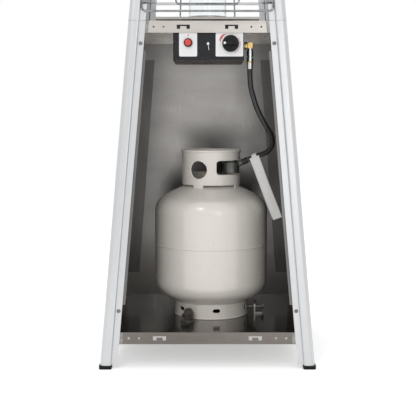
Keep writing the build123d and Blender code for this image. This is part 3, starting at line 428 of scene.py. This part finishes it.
PAPER = finish_of("tag_paper", (0.64, 0.63, 0.61), (0.74, 0.73, 0.71), 0.0, 0.45, 0.6, tone_scale=50.0,
                  contrast=1.4, grain_scale=900.0, bump=0.10)
REGULATOR = finish_of("regulator_casting", (0.05, 0.055, 0.05), (0.16, 0.165, 0.15), 0.8, 0.32, 0.48,
                      tone_scale=90.0, contrast=1.5, grain_scale=700.0, bump=0.2)
BURNT = finish_of("heat_tinted_steel", (0.22, 0.17, 0.13), (0.44, 0.41, 0.38), 1.0, 0.3, 0.5,
                  tone_scale=25.0, contrast=2.4, bump=0.05)
GREEN = finish_of("dot_green", (0.05, 0.42, 0.10), (0.08, 0.52, 0.16), 0.0, 0.35, 0.5, tone_scale=300.0,
                  bump=0.0)
GLASS = finish_of("clear_glass", (0.93, 0.955, 0.96), (0.97, 0.98, 0.985), 0.0, 0.0, 0.02, tone_scale=3.0,
                  bump=0.0, Transmission_Weight=1.0, IOR=1.18)


# Finish of the frame's own nodes

wear(LEG_SILVER, "lower_legs", "upper_legs")
wear(RUBBER, "foot_caps")
wear(ZINC, "leg_joiners", "corner_brackets", "clamp_lugs", "guard_clips", "reflector_posts",
     "burner_supply_pipe")
wear(STEEL_BACK_PAINTED_REFLECTION, "back_panel")
wear(STEEL_SIDE_PAINTED_SHADE, "left_panel", "right_panel")
wear(STEEL_DECK, "burner_deck")
wear(STEEL_LEVEL, "burner_pan", "top_plate", "reflector", "tube_top_ring", "glass_seat")
wear(STEEL_TRAY_PAINTED_SHADE, "base_tray")
wear(SCREW_STEEL, "leg_screws", "clamp_bolt_1", "clamp_bolt_2", "clamp_bolt_3")
wear(CHROME, "cap_nuts", "spindle_bush", "valve_spindle", "hose_swivel")
wear(ENAMEL, "tank_shell", "tank_foot_ring", "tank_collar")
wear(BRASS, "tank_valve", "bleed_screw", "inlet_elbow", "gas_valve")
wear(CRIMPED, "hose_ferrule", "inlet_nipple")
wear(BLACK_SOFT, "coupling_nut", "tank_handwheel", "igniter_bezel", "piezo_igniter")
wear(REGULATOR, "gas_regulator")
wear(CHARCOAL, "control_box")
wear(BOX_FLOOR_PAINTED_REFLECTION, "control_box_floor")
wear(PLATE_WHITE, "igniter_plate", "dial_plate")
wear(RED, "igniter_button")
wear(BLACK_GLOSS, "control_knob")
wear(HOSE, "gas_hose")
wear(PAPER, "hose_tag")
wear(BURNT, "burner", "burner_screen", "burner_drum", "burner_probes")
wear(GLASS, "glass_tube")
wear(GUARD_WIRE, "guard_wires", "guard_frame_front", "guard_frame_back", "guard_frame_left",
     "guard_frame_right")


def dress(piece, material, body="heater", stands_for=()):
    """Gives a new piece its material and its body, and hides the nodes that it stands for."""
    wear(material, piece)
    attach(piece, body)
    if stands_for:
        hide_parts(*stands_for)
    return piece


# Gas hose

HOSE_RADIUS = 0.00675
HOSE_ROUTE = [(0.1094, -0.1500, 0.7578), (0.1094, -0.1500, 0.7190), (0.1189, -0.1476, 0.6840),
              (0.1300, -0.1470, 0.6510), (0.1487, -0.1450, 0.6165), (0.1682, -0.1305, 0.5873),
              (0.1727, -0.1132, 0.5665), (0.1663, -0.0940, 0.5480), (0.1513, -0.0756, 0.5358),
              (0.1285, -0.0618, 0.5292), (0.09385, -0.05567, 0.51277)]


def make_hose():
    """One smooth curve whose control points are the hose's route."""
    curve = bpy.data.curves.new("gas_hose_tube", "CURVE")
    curve.dimensions = "3D"
    spline = curve.splines.new("NURBS")
    spline.points.add(len(HOSE_ROUTE) - 1)
    spline.points.foreach_set("co", np.hstack([HOSE_ROUTE, np.ones((len(HOSE_ROUTE), 1))]).ravel())
    spline.order_u = 3
    spline.use_endpoint_u = True
    spline.resolution_u = 12
    curve.bevel_depth = HOSE_RADIUS
    curve.bevel_resolution = 5
    curve.use_fill_caps = True
    piece = bpy.data.objects.new("gas_hose_tube", curve)
    bpy.context.collection.objects.link(piece)
    return piece


def hose_line(piece):
    """Points along the hose's middle, read from its curve without the bevel."""
    thin = piece.data.copy()
    thin.bevel_depth = 0
    bare = bpy.data.objects.new("hose_middle", thin)
    bpy.context.collection.objects.link(bare)
    bpy.context.view_layer.update()
    mesh = bpy.data.meshes.new_from_object(bare)
    line = np.empty(len(mesh.vertices) * 3)
    mesh.vertices.foreach_get("co", line)
    bpy.data.objects.remove(bare)
    return line.reshape(-1, 3)


hose = dress(make_hose(), HOSE, stands_for=["gas_hose"])
middle_line = hose_line(hose)


# Gas tank

BELLY_LOW, BELLY_HIGH = 0.0996, 0.2856      # above the tray
CROWN_RADIUS, KNUCKLE_RADIUS = 0.240, 0.050
WELD_HEIGHT, WELD_RISE, WELD_HALF = 0.1972, 0.0011, 0.0030


def dome_profile():
    """Upper dome from its top outwards, as rows of (radius, rise above the belly).

    A crown arc about a point on the tank's axis meets a knuckle arc whose circle touches it from inside.
    """
    reach = TANK_RADIUS - KNUCKLE_RADIUS
    gap = CROWN_RADIUS - KNUCKLE_RADIUS
    join = np.arcsin(reach / gap)
    sink = sqrt(gap ** 2 - reach ** 2)
    crown = np.linspace(0.0, join, 22)
    knuckle = np.linspace(join, pi / 2, 20)[1:]
    crown = np.stack([CROWN_RADIUS * np.sin(crown), CROWN_RADIUS * np.cos(crown) - sink], -1)
    knuckle = np.stack([reach + KNUCKLE_RADIUS * np.sin(knuckle), KNUCKLE_RADIUS * np.cos(knuckle)], -1)
    return np.vstack([crown, knuckle])


def tank_profile():
    """Whole tank: upper dome, belly with a weld bead round its middle, lower dome.

    The bead adds rise * (1 - (distance / half width)^2) to the belly's radius.
    """
    dome = dome_profile()
    heights = np.concatenate([np.linspace(BELLY_HIGH, WELD_HEIGHT + 0.008, 8),
                              WELD_HEIGHT + np.linspace(0.005, -0.005, 25),
                              np.linspace(WELD_HEIGHT - 0.008, BELLY_LOW + 0.004, 8)])
    bead = np.clip(1 - ((heights - WELD_HEIGHT) / WELD_HALF) ** 2, 0, 1)
    belly = np.stack([TANK_RADIUS + WELD_RISE * bead, heights], -1)
    upper = dome + [0, BELLY_HIGH]
    lower = dome[::-1] * [1, -1] + [0, BELLY_LOW]
    return np.vstack([upper[:-1], belly, lower])


def tank_ripple(angle, row):
    """Scales the radius by 1 + a few hundredths of a millimetre of slow waviness, as pressed steel has."""
    return 1 + 0.00018 * np.sin(3 * angle + 0.4) * np.sin(row * 0.11) + 0.00010 * np.sin(7 * angle + 1.3)


tank = dress(lathe("tank_skin", tank_profile(), TANK + TRAY * UP, turns=144, lobes=tank_ripple),
             ENAMEL, stands_for=["tank_shell"])


def tank_arc_piece(name, radius, height, start, end, bead):
    """Round bead on a level circle about the tank, with closed ends where it doesn't go all the way round."""
    whole = end - start >= 360
    steps = 145 if whole else 40
    path = arc(TANK + (TRAY + height) * UP, radius, start, end, steps)
    if whole:
        path = path[:-1]
    return swept(name, path, UP, circle(bead, 10), closed=whole)


dress(tank_arc_piece("collar_rolled_rim", COLLAR_RADIUS + 0.0002, 0.4522, 0, 360, 0.0030), ENAMEL)
dress(tank_arc_piece("foot_ring_rolled_edge", RING_RADIUS - 0.0012, 0.0024, 0, 360, 0.0024), ENAMEL)


def wrapped_edge(name, outline, facing, height, radius, bead):
    """Bead round a hole cut level through an upright wall.

    An outline point (u, v) lies at the angle facing + arcsin(u / radius) and at height + v on the wall.
    """
    angle = radians(facing) + np.arcsin(outline[:, 0] / radius)
    outward = np.stack([np.cos(angle), np.sin(angle), 0 * angle], -1)
    path = TANK + radius * outward + (TRAY + height + outline[:, 1, None]) * UP
    return swept(name, path, outward[None], circle(bead, 8), closed=True)


def straight_side(start, end):
    """Ten points evenly between a start and an end, without either."""
    return (start + np.linspace(0, 1, 12)[:, None] * (end - start))[1:-1]


def rounded_outline(width, height, corner, steps=9):
    """Closed rounded rectangle: four quarter circles, each about a corner's centre."""
    quarter = np.linspace(0, pi / 2, steps)[None, :] + np.arange(4)[:, None] * pi / 2
    signs = np.array([[1, 1], [-1, 1], [-1, -1], [1, -1]])[:, None]
    centre = signs * [width / 2 - corner, height / 2 - corner]
    runs = centre + corner * np.stack([np.cos(quarter), np.sin(quarter)], -1)
    joined = [part for number in range(4) for part in
              (runs[number], straight_side(runs[number][-1], runs[(number + 1) % 4][0]))]
    return np.vstack(joined)


HAND_FACING, HAND_HEIGHT, HAND_TALL, HAND_CORNER = -37, 0.4081, 0.041, 0.009
HAND_WIDTH = 2 * COLLAR_RADIUS * sin(radians(43))
GRIP_FACING, GRIP_HEIGHT, GRIP_RADIUS = -116, 0.4026, 0.0255
EDGE_RADIUS, EDGE_BEAD = COLLAR_RADIUS - 0.0013, 0.0021
for turn, word in ((0, "front"), (180, "back")):
    dress(wrapped_edge(f"hand_opening_edge_{word}", rounded_outline(HAND_WIDTH, HAND_TALL, HAND_CORNER),
                       HAND_FACING + turn, HAND_HEIGHT, EDGE_RADIUS, EDGE_BEAD), ENAMEL)
    dress(wrapped_edge(f"grip_hole_edge_{word}", circle(GRIP_RADIUS, 56), GRIP_FACING + turn, GRIP_HEIGHT,
                       EDGE_RADIUS, EDGE_BEAD), ENAMEL)


# Hose tag

TAG_WIDTH, TAG_LENGTH, TAG_SHEET = 0.027, 0.178, 0.0005
SLEEVE = HOSE_RADIUS + 0.0022


def unit(vector):
    """Vector of length one."""
    return np.asarray(vector, float) / np.linalg.norm(vector)


def make_tag(line):
    """Paper strip hung from a loop round the hose.

    Down the strip the distance from the hose's middle line is the loop's radius plus a slow wave
    a * sin(2 * share), and across it the paper is bowed by b * (1 - (side)^2).
    """
    share = np.concatenate([[0], np.cumsum(np.linalg.norm(np.diff(line, axis=0), axis=1))])
    place = np.array([np.interp(0.885 * share[-1], share, line[:, k]) for k in range(3)])
    ahead = np.array([np.interp(0.885 * share[-1] + 0.002, share, line[:, k]) for k in range(3)]) - place
    across = -unit(ahead)
    fall = np.array([0.34, -0.08, -0.94])
    down = unit(fall - across * (fall @ across))
    outward = -np.cross(across, down)
    v = np.linspace(0, 1, 48)[:, None, None]
    u = np.linspace(-1, 1, 13)[None, :, None]
    bow = 0.0016 * (1 - u ** 2) * np.clip(v * 5, 0, 1) + 0.0030 * np.sin(2.6 * v) - 0.0008 * np.sin(9 * v + u)
    points = place + across * u * TAG_WIDTH / 2 + down * v * TAG_LENGTH + outward * (SLEEVE + bow)
    strip = new_piece("hose_tag_strip", points, grid_faces(48, 13))
    angle = np.linspace(0, 2 * pi, 33)[:-1][:, None, None]
    w = np.linspace(-1, 1, 5)[None, :, None]
    loop = place + across * w * 0.007 + SLEEVE * (np.cos(angle) * down + np.sin(angle) * outward)
    band = new_piece("hose_tag_loop", loop, grid_faces(32, 5, wrap_rows=True))
    for piece in (strip, band):
        give_sheet(piece, TAG_SHEET, 0)
        dress(piece, PAPER, stands_for=["hose_tag"])
    return strip, band


tag_strip, tag_loop = make_tag(middle_line)

# Wire guards

ROD_RADIUS = 0.0025
ROD_DEPTH, LOOP_DEPTH = 0.00783, 0.01110
GUARD_LOW, GUARD_HIGH, LOOP_LOW = 0.901, 2.084, 0.9175
GUARD_INSET, LOOP_SHARE = 0.0315, 0.485
WIRE_PITCH, WIRE_RADIUS = 0.0194, 0.0011


def on_front(side, height, depth):
    """Points on the leaning front: (side, depth - half(height), height)."""
    side, height = np.broadcast_arrays(side, height)
    return np.stack([side, depth - half(height), height], -1)


def guard_rods(turn, word):
    """Outer rod and inner loop of one side, each a tapering U with bent corners."""
    reach = [half(GUARD_HIGH) - GUARD_INSET, half(GUARD_LOW) - GUARD_INSET]
    loop = [reach[0] * LOOP_SHARE, (half(LOOP_LOW) - GUARD_INSET) * LOOP_SHARE]
    paths = []
    for (top, bottom), low, depth in ((reach, GUARD_LOW, ROD_DEPTH), (loop, LOOP_LOW, LOOP_DEPTH)):
        corners = on_front(np.array([-top, -bottom, bottom, top]),
                           np.array([GUARD_HIGH, low, low, GUARD_HIGH]), depth)
        paths.append(turn_about_middle(smooth_bend(corners, 0.013, 9), turn))
    normal = turn_about_middle(np.array([[0, -1, -LEAN]]), turn)[0]
    rods = swept(f"guard_rods_{word}", np.stack(paths), unit(normal), circle(ROD_RADIUS, 10))
    dress(rods, GUARD_WIRE, stands_for=[f"guard_frame_{word}"])


def guard_cross_wires():
    """All cross wires in one piece: each row spans from rod to rod, so it shortens evenly with height."""
    rows = GUARD_LOW + WIRE_PITCH * np.arange(1, int((GUARD_HIGH - GUARD_LOW) / WIRE_PITCH + 1e-6) + 1)
    reach = (half(rows) - GUARD_INSET - ROD_RADIUS + 0.0006)[:, None]
    paths = on_front(np.linspace(-1, 1, 3)[None, :] * reach, rows[:, None], ROD_DEPTH)
    paths = np.concatenate([turn_about_middle(paths, turn) for turn in (0, 90, 180, 270)])
    wires = swept("guard_cross_wires", paths, UP, circle(WIRE_RADIUS, 6))
    dress(wires, GUARD_WIRE, stands_for=["guard_wires"])


for quarter, word in enumerate(("front", "right", "back", "left")):
    guard_rods(quarter * 90, word)
guard_cross_wires()

# Side vents

VENT_ROWS, VENT_PITCH, VENT_LENGTH, VENT_HEIGHT = 12, 0.0128, 0.118, 0.005
PANEL_DEPTH, VENT_BOTTOM, VENT_OFFSET = 0.0127, 0.432, 0.070


def vent_hoods(turn, word):
    """Pressed hoods over the slots of a side panel.

    On a hood, u runs along the slot and v up it: it stands out by 3.2 mm * sqrt(1 - v^2) * (1 - u^4).
    """
    u = np.linspace(-1, 1, 13)[None, None, :]
    v = np.linspace(-1, 1, 7)[None, :, None]
    rows = np.arange(VENT_ROWS).repeat(2)[:, None, None]
    side = np.tile([-VENT_OFFSET, VENT_OFFSET], VENT_ROWS)[:, None, None]
    height = VENT_BOTTOM + rows * VENT_PITCH + 0.0012 + v * (VENT_HEIGHT / 2 + 0.0014)
    out = 0.0032 * np.sqrt(np.clip(1 - v ** 2, 0, 1)) * (1 - u ** 4)
    points = on_front(side + u * (VENT_LENGTH / 2 + 0.0015) + 0 * height, height + 0 * u, PANEL_DEPTH)
    points = points + out[..., None] * np.array([0, -1.0, 0]) * np.ones_like(points)
    points = turn_about_middle(points.reshape(-1, 3), turn)
    faces = repeated_faces(grid_faces(7, 13), len(rows), 7 * 13)
    hoods = new_piece(f"vent_hoods_{word}", points, faces)
    give_sheet(hoods, 0.0006, -1)
    dress(hoods, STEEL_SIDE_PAINTED_SHADE)


vent_hoods(90, "right")
vent_hoods(270, "left")

# Controls

# From the knob's back to the grip's middle plane, and how far the grip reaches behind that plane
SKIRT_FRONT, GRIP_BACK = 0.0094, 0.002
MARK_LIFT = 0.00025
SPARK_MARK_HEIGHT = 0.8398


def knob_lobes(angle, row):
    """Fine grip flutes on the skirt's side rows: the radius shrinks by up to 2.5 percent, 28 times round."""
    return 1 - 0.025 * (0.5 - 0.5 * np.cos(28 * angle)) * ((row > 1) & (row < 6))


def eased(wave, power):
    """Wave raised to a power with its sign kept, which squares off or rounds a form."""
    return np.sign(wave) * np.abs(wave) ** power


def make_knob():
    """Round skirt with a rounded edge and a grip bar over it, cut flat behind to clear the dial plate.

    At angles u and v the bar's point is size * (cos u, sin u cos v, sin u sin v), each eased by its power.
    """
    skirt = lathe("control_knob_skirt", [(0.0042, 0), (0.0206, 0), (0.0216, 0.0006), (0.0216, 0.003),
                                         (0.0213, 0.006), (0.0208, 0.0078), (0.0196, 0.0089),
                                         (0.0172, 0.0094), (0.0010, 0.0098), (0, 0.0098)], KNOB, FRONT,
                  turns=112, lobes=knob_lobes)
    u = np.linspace(0, pi, 25)[:, None]
    v = np.linspace(0, 2 * pi, 33)[None, :-1]
    size = np.array([0.0193, 0.0061, 0.0124])
    grip = np.stack([size[0] * eased(np.cos(u), 0.5) + 0 * v,
                     size[1] * eased(np.sin(u), 0.5) * eased(np.cos(v), 0.7),
                     size[2] * eased(np.sin(u), 0.5) * eased(np.sin(v), 0.6)], -1)
    points = KNOB + np.stack([grip[..., 0], -SKIRT_FRONT - np.maximum(grip[..., 2], -GRIP_BACK),
                              grip[..., 1]], -1)
    bar = new_piece("control_knob_grip", points, grid_faces(25, 32, wrap_columns=True)[:, ::-1])
    dress(skirt, BLACK_GLOSS, "burner_knob", ["control_knob"])
    dress(bar, BLACK_GLOSS, "burner_knob")
    dot = lathe("knob_pointer_dot", [(0, 0.0010), (0.0026, 0.0010), (0.0031, 0.0006), (0.0031, 0)],
                KNOB + [-0.0152, -0.0214, 0], FRONT, turns=28)
    dress(dot, MARK_WHITE, "burner_knob")


def dial_mark(name, inner, outer, start, end):
    """Thin mark on the dial plate between two radii along an arc, whose start and end are in degrees."""
    t = np.linspace(0, 1, 40)
    angle = np.radians(start + (end - start) * t)
    radii = np.stack([inner(t), outer(t)])
    points = np.stack([KNOB[0] + radii * np.cos(angle), np.full_like(radii, DIAL_FACE - MARK_LIFT),
                       KNOB[2] + radii * np.sin(angle)], -1)
    dress(new_piece(name, points, grid_faces(2, 40)), MARK_RED)


def spark_mark():
    """Small plain zigzag above the button: an outline of seven corners."""
    corners = np.array([[0.6, 3.4], [-1.7, -0.3], [-0.3, -0.2], [-0.9, -3.4], [1.7, 0.6], [0.3, 0.5],
                        [1.6, 3.2]]) * 0.0011
    points = np.stack([BUTTON[0] + corners[:, 0], np.full(7, DIAL_FACE - MARK_LIFT),
                       SPARK_MARK_HEIGHT + corners[:, 1]], -1)
    dress(new_piece("spark_mark", points, np.array([np.arange(7)]), smooth=False), MARK_RED)


def button_crown():
    """Slightly domed face of the red button, with a soft edge."""
    profile = [(0, 0.0136), (0.003, 0.0135), (0.0058, 0.0131), (0.0072, 0.0124), (0.0077, 0.0112),
               (0.0077, 0.004)]
    crown = lathe("button_crown", profile, BUTTON, FRONT, turns=48)
    dress(crown, RED, "igniter_button")
    ring = swept("bezel_round", arc([0, 0, 0], 0.0094, 0, 360, 49)[:-1][:,
                                                                        [0, 2,
                                                                         1]] + BUTTON + 0.0066 * FRONT,
                 FRONT, circle(0.0014, 10), closed=True)
    dress(ring, BLACK_SOFT)


def latch_screw():
    """Round-headed screw in the middle of the box, with a narrow stem below it."""
    head = lathe("latch_screw_head", [(0, 0.0042), (0.0016, 0.0041), (0.0034, 0.0033), (0.0044, 0.0018),
                                      (0.0046, 0)], LATCH, FRONT, turns=32)
    dress(head, CHROME)
    stem = swept("latch_stem", LATCH + np.array([[0.0004, -0.0008, -0.003], [0.0014, -0.0010, -0.010],
                                                 [0.0022, -0.0008, -0.0165]]), FRONT, circle(0.0011, 8))
    dress(stem, CHROME)


make_knob()
dial_mark("dial_crescent", lambda t: 0.0262 + 0 * t, lambda t: 0.0266 + 0.0040 * np.sin(pi * t) ** 0.7, 171,
          117)
dial_mark("dial_arc", lambda t: 0.0240 + 0 * t, lambda t: 0.0248 + 0 * t, 37, -66)
spark_mark()
button_crown()
latch_screw()

# Screws and small fittings

SCREW_HEIGHTS = np.array([0.145, 0.820])
SCREW_INSET, SCREW_DEPTH, SCREW_RADIUS = 0.036, 0.0100, 0.0050


def leg_screw_heads():
    """Domed heads on both flanges of every leg, each with a cross pressed into it.

    At a share r of its radius a head stands out by 2.6 mm * (1 - r^2)^0.6.
    """
    r = np.linspace(0, 1, 7)[:, None]
    angle = (np.arange(20) * 2 * pi / 20)[None, :]
    rise = 0.0026 * np.clip(1 - r ** 2, 0, 1) ** 0.6
    off_arm = np.minimum(np.abs(np.cos(angle)), np.abs(np.sin(angle))) * r
    cross = np.exp(-(off_arm * 6) ** 2) * np.clip(1 - r * 1.5, 0, 1)
    rise = rise - 0.0011 * cross
    height = SCREW_HEIGHTS.repeat(2)[:, None, None]
    side = (np.tile([-1, 1], 2)[:, None, None]) * (half(height) - SCREW_INSET)
    up = SCREW_RADIUS * r * np.sin(angle)
    along = side + SCREW_RADIUS * r * np.cos(angle)
    depth = SCREW_DEPTH - half(height) + LEAN * up - rise
    heads = np.stack(np.broadcast_arrays(along, depth, height + up), -1).reshape(-1, 3)
    points = np.concatenate([turn_about_middle(heads, turn) for turn in (0, 90, 180, 270)])
    faces = repeated_faces(grid_faces(7, 20, wrap_columns=True), 16, 7 * 20)
    dress(new_piece("leg_screw_heads", points, faces), SCREW_STEEL,
          stands_for=["leg_screws"])


leg_screw_heads()
dress(lathe("hose_locking_ring", [(0.0070, 0), (0.0090, 0.0004), (0.0096, 0.0016), (0.0096, 0.0030),
                                  (0.0090, 0.0044), (0.0070, 0.0048)], SWIVEL + 0.7735 * UP, turns=40),
      BRASS)
dress(lathe("swivel_dot", [(0, 0.0008), (0.0017, 0.0007), (0.0022, 0)], SWIVEL + [0.0052, -0.0062, 0.7865],
            [0.6, -0.8, 0], turns=20), GREEN)
dress(lathe("elbow_hexagon", [(0.0060, 0), (0.0095, 0), (0.0098, 0.0006), (0.0098, 0.0062),
                              (0.0095, 0.0068), (0.0060, 0.0068)], [0.0955, -0.150, 0.8171], [1, 0, 0],
            turns=6), BRASS)
dress(lathe("hose_end_ferrule", [(0.0068, 0), (0.0083, 0.0003), (0.0083, 0.004), (0.0077, 0.005),
                                 (0.0083, 0.006), (0.0083, 0.015), (0.0068, 0.0156)], middle_line[-1],
            middle_line[-4] - middle_line[-1], turns=40), BLACK_SOFT)
REGULATOR_REACH, REGULATOR_HEIGHT = 0.067, 0.408
towards_opening = np.array([cos(radians(HAND_FACING)), sin(radians(HAND_FACING)), 0.0])
regulator_middle = TANK + REGULATOR_REACH * towards_opening + (TRAY + REGULATOR_HEIGHT) * UP
dress(lathe("regulator_cap", [(0.0232, 0.0085), (0.0243, 0.0095), (0.0243, 0.0125), (0.0232, 0.0136),
                              (0.0176, 0.0148), (0.0168, 0.0186), (0.0150, 0.0196), (0.0060, 0.0202),
                              (0.0056, 0.0196), (0, 0.0196)], regulator_middle, turns=64,
            lobes=lambda angle, row: 1 - 0.02 * (0.5 + 0.5 * np.cos(30 * angle)) * (row < 4)), REGULATOR)

# Floor, light and camera

FLOOR_SPAN, FLOOR_DROP = 6.0, 0.0005        # half its side, and how far it lies below the feet
FLOOR_TONE, FLOOR_GLOW = 0.86, 0.44
WORLD_LIGHT = 0.70                          # for the light it gives; direct rays see 1
CAMERA_PLACE = (0.0014, -2.559, 0.643)
CAMERA_TIP, CAMERA_LENS, CAMERA_FILM = 0.1015, 80.07, 36.0


def make_floor():
    """Pale level square with a faint glow for direct rays, so that it looks white and keeps the shadow."""
    corners = np.array([[-1, -1, 0], [1, -1, 0], [1, 1, 0], [-1, 1, 0]]) * FLOOR_SPAN - FLOOR_DROP * UP
    floor = new_piece("floor", corners, np.array([[0, 1, 2, 3]]), smooth=False)
    material = bpy.data.materials.new("pale_floor")
    material.use_nodes = True
    tree = material.node_tree
    tree.nodes.clear()
    paint = add(tree, "BsdfDiffuse", Color=rgba((FLOOR_TONE,) * 3))
    glow = add(tree, "Emission", Color=(1, 1, 1, 1))
    level = add(tree, "Math", operation="MULTIPLY", i0=direct_rays(tree), i1=FLOOR_GLOW)
    tree.links.new(level.outputs[0], glow.inputs["Strength"])
    both = add(tree, "AddShader")
    tree.links.new(paint.outputs[0], both.inputs[0])
    tree.links.new(glow.outputs[0], both.inputs[1])
    tree.links.new(both.outputs[0], add(tree, "OutputMaterial").inputs["Surface"])
    wear(material, floor)


def make_world():
    """White surroundings for the camera, mirrors and glass, and a softer level for the light they give."""
    world = bpy.data.worlds.new("studio")
    bpy.context.scene.world = world
    world.use_nodes = True
    tree = world.node_tree
    sky = tree.nodes["Background"]
    sky.inputs["Color"].default_value = (1, 1, 1, 1)
    level = add(tree, "MapRange", i0=direct_rays(tree), i1=0.0, i2=1.0, i3=WORLD_LIGHT, i4=1.0)
    tree.links.new(level.outputs[0], sky.inputs["Strength"])


def soft_lamp(name, place, aim, width, height, power, in_mirrors=True):
    """Rectangular lamp at a place, turned towards a point, and shown in metal unless told otherwise."""
    data = bpy.data.lights.new(name, "AREA")
    data.shape = "RECTANGLE"
    data.size, data.size_y, data.energy = width, height, power
    lamp = bpy.data.objects.new(name, data)
    lamp.location = place
    lamp.visible_glossy = in_mirrors
    lamp.rotation_euler = (Vector(aim) - Vector(place)).to_track_quat("-Z", "Y").to_euler()
    bpy.context.collection.objects.link(lamp)


def make_camera():
    """Camera at the photograph's angle, a little above the middle and tipped down."""
    data = bpy.data.cameras.new("camera")
    data.lens = CAMERA_LENS
    data.sensor_width = CAMERA_FILM
    data.clip_end = 50.0
    camera = bpy.data.objects.new("camera", data)
    camera.location = CAMERA_PLACE
    camera.rotation_euler = (pi / 2 - CAMERA_TIP, 0, 0)
    bpy.context.collection.objects.link(camera)
    bpy.context.scene.camera = camera


make_floor()
make_world()
make_camera()
soft_lamp("key_lamp", (-0.62, -3.1, 1.1), (0, 0, 0.45), 0.8, 1.6, 18, in_mirrors=False)
soft_lamp("side_lamp", (0.8, -3.0, 1.1), (0, 0, 0.45), 0.4, 1.4, 5)
soft_lamp("gloss_lamp", (-1.1, -2.4, 2.5), (0, 0, 0.5), 0.6, 0.9, 10)
soft_lamp("top_lamp", (0, 0.3, 3.6), (0, 0, 0.5), 2.4, 2.4, 28)

bpy.context.scene.view_settings.view_transform = "Standard"
